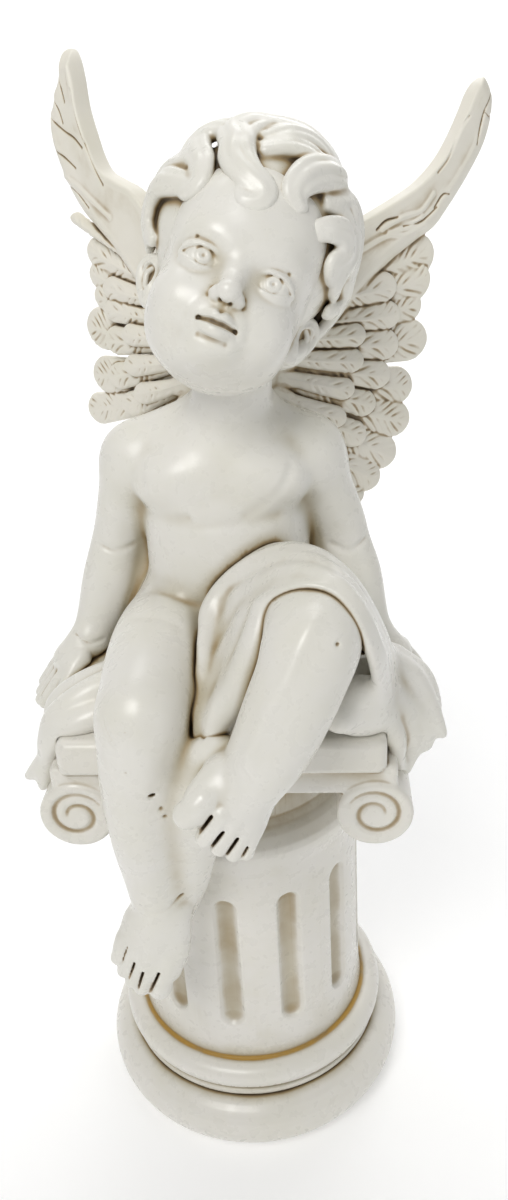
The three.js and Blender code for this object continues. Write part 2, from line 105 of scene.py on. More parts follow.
def smooth_route(knots: Sequence[Sequence[float]], per_span: int) -> np.ndarray:
    """Run a Catmull-Rom curve through knots of any width.

    Args:
        knots: Rows of numbers, such as x, y, z and radius.
        per_span: Samples for each stretch between two knots.

    Returns:
        The sampled rows, ending exactly on the last knot.
    """
    k = np.array(knots, dtype=np.float64)
    padded = np.vstack([2 * k[0] - k[1], k, 2 * k[-1] - k[-2]])
    t = (np.arange(per_span) / per_span)[:, None]
    rows = []
    for i in range(1, len(padded) - 2):
        p0, p1, p2, p3 = padded[i - 1:i + 3]
        rows.append(0.5 * (2 * p1 + (p2 - p0) * t + (2 * p0 - 5 * p1 + 4 * p2 - p3) * t ** 2
                           + (3 * p1 - p0 - 3 * p2 + p3) * t ** 3))
    rows.append(k[-1:])
    return np.vstack(rows)


class Form:
    """Something with a signed distance: negative inside, positive outside."""

    def reach(self) -> tuple[np.ndarray, np.ndarray]:
        """Return the lowest and highest corner that hold the form."""
        raise NotImplementedError

    def distance(self, x: Grid, y: Grid, z: Grid) -> Grid:
        """Return the signed distance at broadcastable coordinates."""
        raise NotImplementedError


def turned_box(at: Point, half: Point, turn: Point) -> tuple[np.ndarray, np.ndarray]:
    """Return the lowest and highest corner that hold a turned box."""
    spread = np.abs(rotation(turn)) @ np.array(half)
    return np.array(at) - spread, np.array(at) + spread


def local_offsets(at: Point, turn: Point, axes: Sequence[Grid]) -> tuple[Grid, ...]:
    """Return coordinates as seen from a form's own middle and axes."""
    offsets = tuple(axis - middle for axis, middle in zip(axes, at))
    if not any(turn):
        return offsets
    dx, dy, dz = offsets
    m = rotation(turn)
    return tuple(m[0, i] * dx + m[1, i] * dy + m[2, i] * dz for i in range(3))


@dataclass(frozen=True)
class Blob(Form):
    """An ellipsoid, which may be turned."""

    at: Point
    size: Point
    turn: Point = (0.0, 0.0, 0.0)

    def reach(self) -> tuple[np.ndarray, np.ndarray]:
        """Return the corners of the box that holds it."""
        return turned_box(self.at, self.size, self.turn)

    def distance(self, x: Grid, y: Grid, z: Grid) -> Grid:
        """Return the signed distance at broadcastable coordinates."""
        dx, dy, dz = local_offsets(self.at, self.turn, (x, y, z))
        rx, ry, rz = self.size
        first = np.sqrt((dx / rx) ** 2 + (dy / ry) ** 2 + (dz / rz) ** 2)
        second = np.sqrt((dx / rx ** 2) ** 2 + (dy / ry ** 2) ** 2 + (dz / rz ** 2) ** 2)
        return first * (first - 1.0) / np.maximum(second, 1e-5)


@dataclass(frozen=True)
class Slab(Form):
    """A box with rounded edges, which may be turned."""

    at: Point
    half: Point
    edge: float
    turn: Point = (0.0, 0.0, 0.0)

    def reach(self) -> tuple[np.ndarray, np.ndarray]:
        """Return the corners of the box that holds it."""
        return turned_box(self.at, self.half, self.turn)

    def distance(self, x: Grid, y: Grid, z: Grid) -> Grid:
        """Return the signed distance at broadcastable coordinates."""
        dx, dy, dz = local_offsets(self.at, self.turn, (x, y, z))
        qx, qy, qz = (np.abs(d) - (h - self.edge) for d, h in zip((dx, dy, dz), self.half))
        outside = np.sqrt(np.maximum(qx, 0) ** 2 + np.maximum(qy, 0) ** 2 + np.maximum(qz, 0) ** 2)
        return outside + np.minimum(np.maximum(np.maximum(qx, qy), qz), 0.0) - self.edge


class Clay:
    """A block of voxels that forms are added to, cut from and drawn on."""

    def __init__(self, low: Point, high: Point, voxel: float) -> None:
        """Start an empty block.

        Args:
            low: Lowest corner in millimetres.
            high: Highest corner in millimetres.
            voxel: Voxel edge in millimetres.
        """
        self.voxel = voxel
        self.low = np.array(low, dtype=np.float64)
        counts = np.ceil((np.array(high) - self.low) / voxel).astype(int) + 1
        self.field = np.full(tuple(counts), FAR, dtype=np.float32)
        self.axes = [(self.low[i] + voxel * np.arange(counts[i])).astype(np.float32) for i in range(3)]

    def window(self, low: np.ndarray, high: np.ndarray) -> tuple:
        """Find the voxels inside a box.

        Args:
            low: Lowest corner in millimetres.
            high: Highest corner in millimetres.

        Returns:
            Three slices, and three coordinate arrays that broadcast to their shape.
        """
        start = np.clip(np.floor((low - self.low) / self.voxel).astype(int), 0, self.field.shape)
        stop = np.clip(np.ceil((high - self.low) / self.voxel).astype(int) + 1, 0, self.field.shape)
        cut = tuple(slice(int(a), int(b)) for a, b in zip(start, stop))
        x, y, z = (axis[part] for axis, part in zip(self.axes, cut))
        return cut, x[:, None, None], y[None, :, None], z[None, None, :]

    def form_distance(self, form: Form, blend: float) -> tuple:
        """Measure the distance to a form in the window that it can change.

        Args:
            form: What is measured.
            blend: Width of the rounded seam.

        Returns:
            The window's slices and the distance inside it.
        """
        low, high = form.reach()
        margin = blend + RIM_VOXELS * self.voxel
        cut, x, y, z = self.window(low - margin, high + margin)
        return cut, form.distance(x, y, z)

    def add(self, form: Form, blend: float = 0.0) -> None:
        """Join a form on.

        Args:
            form: What is joined.
            blend: Width of the rounded seam.
        """
        cut, distance = self.form_distance(form, blend)
        self.field[cut] = soft_min(self.field[cut], distance, blend)

    def carve(self, form: Form, blend: float = 0.0) -> None:
        """Cut a form away.

        Args:
            form: What is cut.
            blend: Width of the rounded edge.
        """
        cut, distance = self.form_distance(form, blend)
        self.field[cut] = -soft_min(-self.field[cut], distance, blend)

    def tube_distance(self, route: np.ndarray, margin: float) -> tuple:
        """Measure the distance to a tube of changing radius.

        Args:
            route: Rows of x, y, z and radius.
            margin: How far beyond the tube the distance is needed.

        Returns:
            The window's slices and the distance inside it, FAR where not measured.
        """
        reach = route[:, 3].max() + margin
        cut, *_ = self.window(route[:, :3].min(0) - reach, route[:, :3].max(0) + reach)
        result = np.full([s.stop - s.start for s in cut], FAR, dtype=np.float32)
        for a, b in zip(route[:-1], route[1:]):
            spread = max(a[3], b[3]) + margin
            part, x, y, z = self.window(np.minimum(a[:3], b[:3]) - spread,
                                        np.maximum(a[:3], b[:3]) + spread)
            inner = tuple(slice(p.start - c.start, p.stop - c.start) for p, c in zip(part, cut))
            if any(s.stop <= s.start for s in inner):
                continue
            axis = b[:3] - a[:3]
            length = float(axis @ axis) + 1e-9
            dx, dy, dz = x - a[0], y - a[1], z - a[2]
            along = np.clip((dx * axis[0] + dy * axis[1] + dz * axis[2]) / length, 0.0, 1.0)
            gap = np.sqrt((dx - along * axis[0]) ** 2 + (dy - along * axis[1]) ** 2
                          + (dz - along * axis[2]) ** 2)
            result[inner] = np.minimum(result[inner], gap - (a[3] + along * (b[3] - a[3])))
        return cut, result

    def roll(self, knots: Sequence[Knot], blend: float = 0.0, per_span: int = 6) -> None:
        """Lay a round roll of clay along a smooth route.

        Args:
            knots: Rows of x, y, z and radius.
            blend: Width of the rounded seam with what is there.
            per_span: Samples between two knots.
        """
        cut, distance = self.tube_distance(smooth_route(knots, per_span), blend + RIM_VOXELS * self.voxel)
        self.field[cut] = soft_min(self.field[cut], distance, blend)

    def drill(self, knots: Sequence[Knot], blend: float = 0.0, per_span: int = 6) -> None:
        """Cut a round channel along a smooth route.

        Args:
            knots: Rows of x, y, z and radius.
            blend: Width of the rounded edge.
            per_span: Samples between two knots.
        """
        cut, distance = self.tube_distance(smooth_route(knots, per_span), blend + RIM_VOXELS * self.voxel)
        self.field[cut] = -soft_min(-self.field[cut], distance, blend)

    def crease(self, points: Sequence[Point], width: float, depth: float, per_span: int = 8) -> None:
        """Press a soft line into the surface, or raise it where depth is negative.

        Args:
            points: The line's corners; they may lie a little off the surface.
            width: Distance at which the line has faded to about a third.
            depth: How deep the line is.
            per_span: Samples between two corners.
        """
        route = smooth_route([(*p, 0.0) for p in points], per_span)
        cut, distance = self.tube_distance(route, 2.6 * width)
        fade = np.exp(-(np.maximum(distance, 0.0) / width) ** 2)
        self.field[cut] += depth * fade

    def melt(self, radius: float) -> None:
        """Soften every seam and fold that is smaller than a radius.

        Args:
            radius: Reach of the softening in millimetres.
        """
        band = 3.0 * radius
        self.field = box_blur(np.clip(self.field, -band, band), radius, self.voxel)
        self.field[self.field >= 0.98 * band] = FAR

    def occupancy(self) -> Grid:
        """Return how full each voxel is, from 0 to 1."""
        return np.clip(0.5 - self.field / self.voxel, 0.0, 1.0)


def box_blur(values: Grid, radius: float, voxel: float) -> Grid:
    """Blur a grid twice with a box, which comes close to a bell curve.

    Args:
        values: The grid.
        radius: Half the box's width in millimetres.
        voxel: Voxel edge in millimetres.

    Returns:
        The blurred grid.
    """
    r = max(1, int(round(radius / voxel)))
    for _ in range(2):
        for axis in range(3):
            padding = [(0, 0)] * 3
            padding[axis] = (r + 1, r)
            total = np.cumsum(np.pad(values, padding, mode="edge"), axis=axis, dtype=np.float32)
            size = values.shape[axis]
            upper = np.take(total, np.arange(2 * r + 1, 2 * r + 1 + size), axis=axis)
            lower = np.take(total, np.arange(size), axis=axis)
            values = (upper - lower) / (2 * r + 1)
    return values


def sample(grid: Grid, clay: Clay, points: np.ndarray) -> np.ndarray:
    """Read a grid between its voxels.

    Args:
        grid: Values on the clay's voxels.
        clay: The clay that the grid belongs to.
        points: Rows of x, y and z in millimetres.

    Returns:
        One value for each point.
    """
    place = (points - clay.low) / clay.voxel
    place = np.clip(place, 0, np.array(grid.shape) - 1.001)
    base = place.astype(int)
    part = place - base
    result = np.zeros(len(points))
    for corner in range(8):
        step = np.array([(corner >> i) & 1 for i in range(3)])
        weight = np.prod(np.where(step, part, 1 - part), axis=1)
        at = base + step
        result += weight * grid[at[:, 0], at[:, 1], at[:, 2]]
    return result


# ------------------------------------------------------------------ meshes

def mesh_from_arrays(name: str, points: np.ndarray, triangles: np.ndarray,
                     quads: np.ndarray) -> bpy.types.Mesh:
    """Make a Blender mesh from arrays of corners and faces.

    Args:
        name: The mesh's name.
        points: Rows of x, y and z in metres.
        triangles: Rows of three corner numbers.
        quads: Rows of four corner numbers.

    Returns:
        The mesh.
    """
    mesh = bpy.data.meshes.new(name)
    mesh.vertices.add(len(points))
    mesh.vertices.foreach_set("co", points.astype(np.float32).ravel())
    loops = np.concatenate([triangles.ravel(), quads.ravel()]).astype(np.int32)
    sizes = np.concatenate([np.full(len(triangles), 3), np.full(len(quads), 4)])
    mesh.loops.add(len(loops))
    mesh.loops.foreach_set("vertex_index", loops)
    mesh.polygons.add(len(sizes))
    starts = np.concatenate([[0], np.cumsum(sizes)[:-1]]).astype(np.int32)
    mesh.polygons.foreach_set("loop_start", starts)
    mesh.update(calc_edges=True)
    mesh.validate()
    return mesh


@dataclass(frozen=True)
class Casting:
    """How a block of clay becomes a mesh.

    Attributes:
        name: The object's name.
        triangles: Triangle budget after thinning.
        fine: Reach of the narrow-crevice reading in millimetres, which sets where wash and painted shade
            gather.
        broad: Reach of the wide-hollow reading in millimetres, which sets where shade is painted.
    """

    name: str
    triangles: int
    fine: float = 1.6
    broad: float = 6.0


def cast(clay: Clay, plan: Casting, place: Callable[[np.ndarray], np.ndarray] | None = None,
         neighbours: Grid | None = None) -> bpy.types.Object:
    """Turn clay into a smooth-shaded object with crevice and hollow readings on its vertices, which the paint
    turns into wash and painted shade.

    Args:
        clay: The finished clay.
        plan: Name, budget and reading sizes.
        place: Moves rows of millimetre points from the clay's frame to the statue's.
        neighbours: Occupancy of touching clay in the same grid, which deepens shared crevices so that painted
            shade and wash darken where pieces meet.

    Returns:
        The new object, at the origin.
    """
    band = 3 * clay.voxel
    grid = openvdb.FloatGrid(band)
    grid.copyFromArray(np.ascontiguousarray(np.clip(clay.field, -band, band)))
    points, triangles, quads = grid.convertToPolygons(isovalue=0.0, adaptivity=0.0)
    points = points * clay.voxel + clay.low
    mesh = mesh_from_arrays(plan.name, points * MM, triangles, quads)
    piece = bpy.data.objects.new(plan.name, mesh)
    bpy.context.scene.collection.objects.link(piece)
    count = len(triangles) + 2 * len(quads)
    if count > plan.triangles:
        thin(piece, plan.triangles / count)
    mesh = piece.data
    corners = np.empty(len(mesh.vertices) * 3, dtype=np.float32)
    mesh.vertices.foreach_get("co", corners)
    corners = corners.reshape(-1, 3).astype(np.float64) / MM
    corners = settle(clay, corners)
    mesh.vertices.foreach_set("co", (corners * MM).astype(np.float32).ravel())
    full = clay.occupancy()
    if neighbours is not None:
        full = np.maximum(full, neighbours)
    # Crevice and hollow readings: the paint darkens by them, as antiquing wash and as painted shade.
    for label, reach in (("crevice", plan.fine), ("hollow", plan.broad)):
        reading = sample(box_blur(full, reach, clay.voxel), clay, corners)
        attribute = mesh.attributes.new(label, "FLOAT", "POINT")
        attribute.data.foreach_set("value", np.clip((reading - 0.5) * 2.0, -1.0, 1.0).astype(np.float32))
    facing = field_normals(clay, corners)
    if place is not None:
        outer = place(corners + 0.5 * facing)
        corners = place(corners)
        facing = outer - corners
        mesh.vertices.foreach_set("co", (corners * MM).astype(np.float32).ravel())
    mesh.polygons.foreach_set("use_smooth", np.ones(len(mesh.polygons), dtype=bool))
    mesh.update()
    face_outwards(mesh)
    facing /= np.maximum(np.linalg.norm(facing, axis=1), 1e-9)[:, None]
    mesh.normals_split_custom_set_from_vertices(facing.tolist())
    LOG.info("%s: %d triangles", plan.name, sum(len(p.vertices) - 2 for p in mesh.polygons))
    return piece


def field_slopes(clay: Clay, points: np.ndarray) -> np.ndarray:
    """Measure how steeply the clay's field rises along each axis.

    Args:
        clay: The clay.
        points: Rows of x, y and z near its surface.

    Returns:
        One row for each point.
    """
    columns = []
    for axis in np.eye(3) * clay.voxel:
        rise = sample(clay.field, clay, points + axis) - sample(clay.field, clay, points - axis)
        columns.append(np.clip(rise / (2 * clay.voxel), -2.0, 2.0))
    return np.stack(columns, axis=1)


def field_normals(clay: Clay, points: np.ndarray) -> np.ndarray:
    """Find the outward direction of the clay's surface, which shades smoother than its facets.

    Args:
        clay: The clay.
        points: Rows of x, y and z on its surface.

    Returns:
        One unit row for each point.
    """
    slope = field_slopes(clay, points)
    return slope / np.maximum(np.linalg.norm(slope, axis=1), 1e-9)[:, None]


def settle(clay: Clay, points: np.ndarray) -> np.ndarray:
    """Move points that thinning has shifted back onto the clay's surface.

    Args:
        clay: The clay.
        points: Rows of x, y and z near its surface.

    Returns:
        The moved rows.
    """
    limit = 0.6 * clay.voxel
    for _ in range(3):
        slope = field_slopes(clay, points)
        steepness = np.maximum(np.sum(slope * slope, axis=1), 0.25)
        step = sample(clay.field, clay, points) / steepness
        move = slope * np.clip(step, -limit, limit)[:, None]
        points = points - 0.8 * move
    return points


def thin(piece: bpy.types.Object, ratio: float) -> None:
    """Collapse a mesh to a share of its triangles.

    Args:
        piece: The object.
        ratio: Share of the triangles that is kept.
    """
    bpy.ops.object.select_all(action="DESELECT")
    piece.select_set(True)
    bpy.context.view_layer.objects.active = piece
    modifier = piece.modifiers.new("thin", "DECIMATE")
    modifier.ratio = ratio
    bpy.ops.object.modifier_apply(modifier=modifier.name)


def face_outwards(mesh: bpy.types.Mesh) -> None:
    """Turn all faces round if they enclose a negative volume.

    Args:
        mesh: A closed mesh.
    """
    mesh.calc_loop_triangles()
    corners = np.empty(len(mesh.vertices) * 3, dtype=np.float32)
    mesh.vertices.foreach_get("co", corners)
    corners = corners.reshape(-1, 3)
    faces = np.empty(len(mesh.loop_triangles) * 3, dtype=np.int32)
    mesh.loop_triangles.foreach_get("vertices", faces)
    a, b, c = (corners[faces.reshape(-1, 3)[:, i]] for i in range(3))
    if np.einsum("ij,ij->i", a, np.cross(b, c)).sum() < 0:
        mesh.flip_normals()


# ------------------------------------------------------------------ column

@dataclass(frozen=True)
class ColumnSizes:
    """Driving sizes of the column in millimetres; heights run up from the floor.

    Attributes:
        foot: Largest radius of the lower moulding.
        drum: Radius of the fluted drum.
        drum_bottom: Where the drum leaves its mouldings.
        drum_top: Where the flared ring begins.
        neck: Radius of the recess under the seat.
        band_bottom: Underside of the band between the scrolls.
        seat_bottom: Underside of the abacus.
        seat_top: Top of the abacus.
        seat_half: Half the abacus's width.
        scroll_x: Distance of a scroll's eye from the middle.
        scroll_z: Height of a scroll's eye.
        scroll: Radius of a scroll.
        flutes: Number of flutes.
        flute_first: Direction of the first flute from the front, in degrees.
        flute: Radius of the cutter that makes a flute.
        flute_low: Lower end of a flute.
        flute_high: Upper end of a flute.
    """

    foot: float
    seat_top: float
    seat_half: float
    drum: float = 74.0
    drum_bottom: float = 62.0
    drum_top: float = 222.0
    neck: float = 63.0
    band_bottom: float = 276.0
    seat_bottom: float = 290.0
    scroll_x: float = 80.0
    scroll_z: float = 263.0
    scroll: float = 20.3
    flutes: int = 12
    flute_first: float = -5.0
    flute: float = 8.5
    flute_low: float = 97.0
    flute_high: float = 184.0


@dataclass(frozen=True)
class Lathed(Form):
    """A solid turned about the Z axis from a closed outline of (radius, height) corners."""

    outline: tuple[tuple[float, float], ...]

    def reach(self) -> tuple[np.ndarray, np.ndarray]:
        """Return the corners of the box that holds it."""
        radius = max(r for r, _ in self.outline)
        heights = [h for _, h in self.outline]
        return np.array([-radius, -radius, min(heights)]), np.array([radius, radius, max(heights)])

    def distance(self, x: Grid, y: Grid, z: Grid) -> Grid:
        """Return the signed distance at broadcastable coordinates."""
        heights = z.ravel()
        step = float(heights[1] - heights[0])
        across = np.sqrt(x * x + y * y)[:, :, 0]
        radii = np.arange(0.0, float(across.max()) + 2 * step, step, dtype=np.float32)
        table = self.section(radii, heights)
        place = across / step
        base = place.astype(int)
        part = (place - base)[:, :, None]
        return (table[base] * (1 - part) + table[base + 1] * part).astype(np.float32)

    def section(self, radii: Grid, heights: Grid) -> Grid:
        """Return the outline's signed distance on a grid of radii and heights."""
        r, h = radii[:, None], heights[None, :]
        nearest = np.full((len(radii), len(heights)), FAR ** 2, dtype=np.float32)
        inside = np.zeros(nearest.shape, dtype=bool)
        corners = list(self.outline)
        for (r0, h0), (r1, h1) in zip(corners, corners[1:] + corners[:1]):
            er, eh = r1 - r0, h1 - h0
            t = np.clip(((r - r0) * er + (h - h0) * eh) / (er * er + eh * eh + 1e-9), 0, 1)
            if max(abs(r0), abs(r1)) > 1e-6:
                nearest = np.minimum(nearest, (r - r0 - t * er) ** 2 + (h - h0 - t * eh) ** 2)
            crosses = (h0 > h) != (h1 > h)
            inside ^= crosses & (r < er * (h - h0) / (eh if abs(eh) > 1e-9 else 1e-9) + r0)
        return np.where(inside, -1.0, 1.0) * np.sqrt(nearest)


def moulding(low: float, high: float, radius: float, steps: int = 14) -> list[tuple[float, float]]:
    """Draw a half-round moulding between two heights.

    Args:
        low: Lower edge.
        high: Upper edge.
        radius: Outermost reach from the axis.
        steps: Straight pieces of the arc.

    Returns:
        Corners of (radius, height) from bottom to top.
    """
    bulge = (high - low) / 2
    angles = np.linspace(-math.pi / 2, math.pi / 2, steps + 1)
    return [(radius - bulge + bulge * math.cos(a), (low + high) / 2 + bulge * math.sin(a)) for a in angles]


class Column:
    """The fluted column with its foot mouldings, scrolls and square seat."""

    def __init__(self, sizes: ColumnSizes) -> None:
        """Keep the sizes.

        Args:
            sizes: Driving sizes.
        """
        self.sizes = sizes

    def sculpt(self) -> Clay:
        """Model the whole column.

        Returns:
            The finished clay.
        """
        s = self.sizes
        clay = Clay((-s.scroll_x - 27, -s.foot - 4, -4), (s.scroll_x + 27, s.foot + 4, s.seat_top + 4),
                    0.95)
        clay.add(Lathed(tuple(self.outline())))
        clay.add(Slab((0, 0, (s.seat_bottom + s.seat_top) / 2),
                      (s.seat_half, s.seat_half, (s.seat_top - s.seat_bottom) / 2), 4.5), 0.8)
        clay.add(Slab((0, 0, (s.band_bottom + s.seat_bottom) / 2 + 1),
                      (s.scroll_x + 12, s.seat_half - 4, (s.seat_bottom - s.band_bottom) / 2 + 2), 3.0),
                 0.8)
        for side in (-1, 1):
            self.add_scroll(clay, side)
        for index in range(s.flutes):
            self.cut_flute(clay, s.flute_first + 360.0 * index / s.flutes)
        self.wear(clay)
        return clay

    def outline(self) -> list[tuple[float, float]]:
        """Draw the turned outline.

        Returns:
            Closed corners of (radius, height).
        """
        s = self.sizes
        return [
            (0, 0), (s.foot - 5, 0), *moulding(1.5, 38, s.foot),
            (s.foot - 15, 40), (s.foot - 15.5, 43), *moulding(45, s.drum_bottom, s.foot - 12),
            (s.drum + 1.2, s.drum_bottom - 0.5), (s.drum + 0.8, s.drum_bottom + 3),
            (s.drum, s.drum_bottom + 8), (s.drum - 1, s.drum_top - 24), (s.drum, s.drum_top - 10),
            (s.drum + 2, s.drum_top),
            (s.drum + 2.6, s.drum_top + 3), (s.drum + 1.6, s.drum_top + 7), (s.drum - 3, s.drum_top + 12),
            (s.neck + 3, s.drum_top + 15), (s.neck, s.drum_top + 19), (s.neck - 1, s.seat_bottom + 2),
            (0, s.seat_bottom + 2),
        ]

    def add_scroll(self, clay: Clay, side: int) -> None:
        """Roll one bolster and carve its two spiral faces.

        Args:
            clay: The column's clay.
            side: -1 for the statue's right, 1 for its left.
        """
        s = self.sizes
        reach = s.seat_half - 2
        cut, x, y, z = clay.window(np.array([side * s.scroll_x - 24, -reach - 5, s.scroll_z - 24]),
                                   np.array([side * s.scroll_x + 24, reach + 5, s.scroll_z + 24]))
        round_part = np.sqrt((x - side * s.scroll_x) ** 2 + (z - s.scroll_z) ** 2) - s.scroll
        waist = 2.2 * np.exp(-(y / 34.0) ** 2)
        round_part = round_part + waist
        caps = np.abs(y) - reach
        edge = 2.2
        body = np.sqrt(np.maximum(round_part + edge, 0) ** 2 + np.maximum(caps + edge, 0) ** 2)
        body = body + np.minimum(np.maximum(round_part + edge, caps + edge), 0.0) - edge
        clay.field[cut] = soft_min(clay.field[cut], body.astype(np.float32), 1.5)
        for face in (-1, 1):
            groove = []
            for step in range(33):
                turn = step / 32
                angle = math.radians(150 - 500 * turn)
                radius = s.scroll * (0.76 - 0.50 * turn)
                groove.append((side * (s.scroll_x + radius * math.cos(angle)), face * (reach + 0.5),
                               s.scroll_z + radius * math.sin(angle),
                               1.1 + 1.1 * math.sin(math.pi * turn) ** 0.5))
            clay.drill(groove, 1.2, 1)

    def cut_flute(self, clay: Clay, degrees: float) -> None:
        """Cut one round-ended flute.

        Args:
            clay: The column's clay.
            degrees: Direction from the front, towards the statue's left.
        """
        s = self.sizes
        reach = s.drum + s.flute - 5.6
        x, y = reach * math.sin(math.radians(degrees)), -reach * math.cos(math.radians(degrees))
        clay.drill([(x, y, s.flute_low, s.flute), (x, y, s.flute_high, s.flute)], 0.8, 1)

    def wear(self, clay: Clay) -> None:
        """Press in the casting's small chips and pits.

        Args:
            clay: The column's clay.
        """
        s = self.sizes
        chips = [
            ((s.seat_half - 1, -s.seat_half + 1, s.seat_bottom + 2), 2.6),
            ((-s.seat_half + 2, -s.seat_half + 1, s.seat_top - 2), 2.4),
            ((52, -s.seat_half - 0.4, s.seat_bottom + 1), 1.6),
            ((66, 74, 46), 1.8),
        ]
        for at, radius in chips:
            clay.carve(Blob(at, (radius, radius, radius * 0.8)), 1.4)


# ------------------------------------------------------------------ body

@dataclass(frozen=True)
class Digit:
    """A finger or toe.

    Attributes:
        root: Where it leaves the hand or foot.
        along: Direction it points in.
        bend: Direction its end droops towards.
        length: Length in millimetres.
        radius: Radius at the root.
        tip: Radius of the rounded tip.
    """

    root: Point
    along: Point
    bend: Point
    length: float
    radius: float
    tip: float


def unit(direction: Sequence[float]) -> np.ndarray:
    """Scale a direction to length 1.

    Args:
        direction: Any direction.

    Returns:
        The same direction with length 1.
    """
    vector = np.array(direction, dtype=np.float64)
    return vector / np.linalg.norm(vector)


def add_digit(clay: Clay, digit: Digit, blend: float) -> None:
    """Lay one finger or toe.

    Args:
        clay: The body's clay.
        digit: Its sizes.
        blend: Width of the seam with what is there.
    """
    root, along, bend = np.array(digit.root), unit(digit.along), unit(digit.bend)
    knots = []
    for share, droop, swell in ((0.0, 0.0, 1.0), (0.35, 0.02, 1.0), (0.7, 0.10, 0.93), (1.0, 0.24, 1.0)):
        at = root + along * digit.length * share + bend * digit.length * droop
        radius = (digit.radius + (digit.tip - digit.radius) * share) * swell
        knots.append((*at, radius))
    clay.roll(knots, blend, 4)


RIGHT_ARM = ((-42, 3, 434, 18.5), (-50, 6, 414, 16.6), (-57, 9, 394, 14.8), (-62, 8, 380, 14.2),
             (-67, 4, 362, 15.0), (-73, -3, 345, 12.6), (-79, -11, 332, 10.0))
LEFT_ARM = ((48, 4, 434, 18.5), (56, 7, 414, 16.4), (64, 10, 394, 14.8), (68, 9, 380, 14.2),
            (73, 5, 362, 15.0), (78, -4, 345, 12.6), (83, -12, 332, 10.0))
RIGHT_LEG = ((-22, 0, 340, 30), (-29, -38, 345, 28.5), (-32, -72, 347, 25), (-33, -98, 343, 22.5),
             (-35, -109, 325, 21), (-38, -108, 298, 19), (-40, -105, 268, 16.5), (-40, -101, 240, 14.2),
             (-39, -99, 222, 13.6), (-38, -98, 210, 14.0))
LEFT_LEG = ((28, 0, 342, 31), (36, -34, 356, 29), (45, -72, 374, 25.5), (50, -97, 381, 22.5),
            (46, -110, 370, 21.5), (37, -120, 352, 20.5), (27, -128, 334, 18), (19, -132, 321, 15.2),
            (13, -134, 311, 13.8))


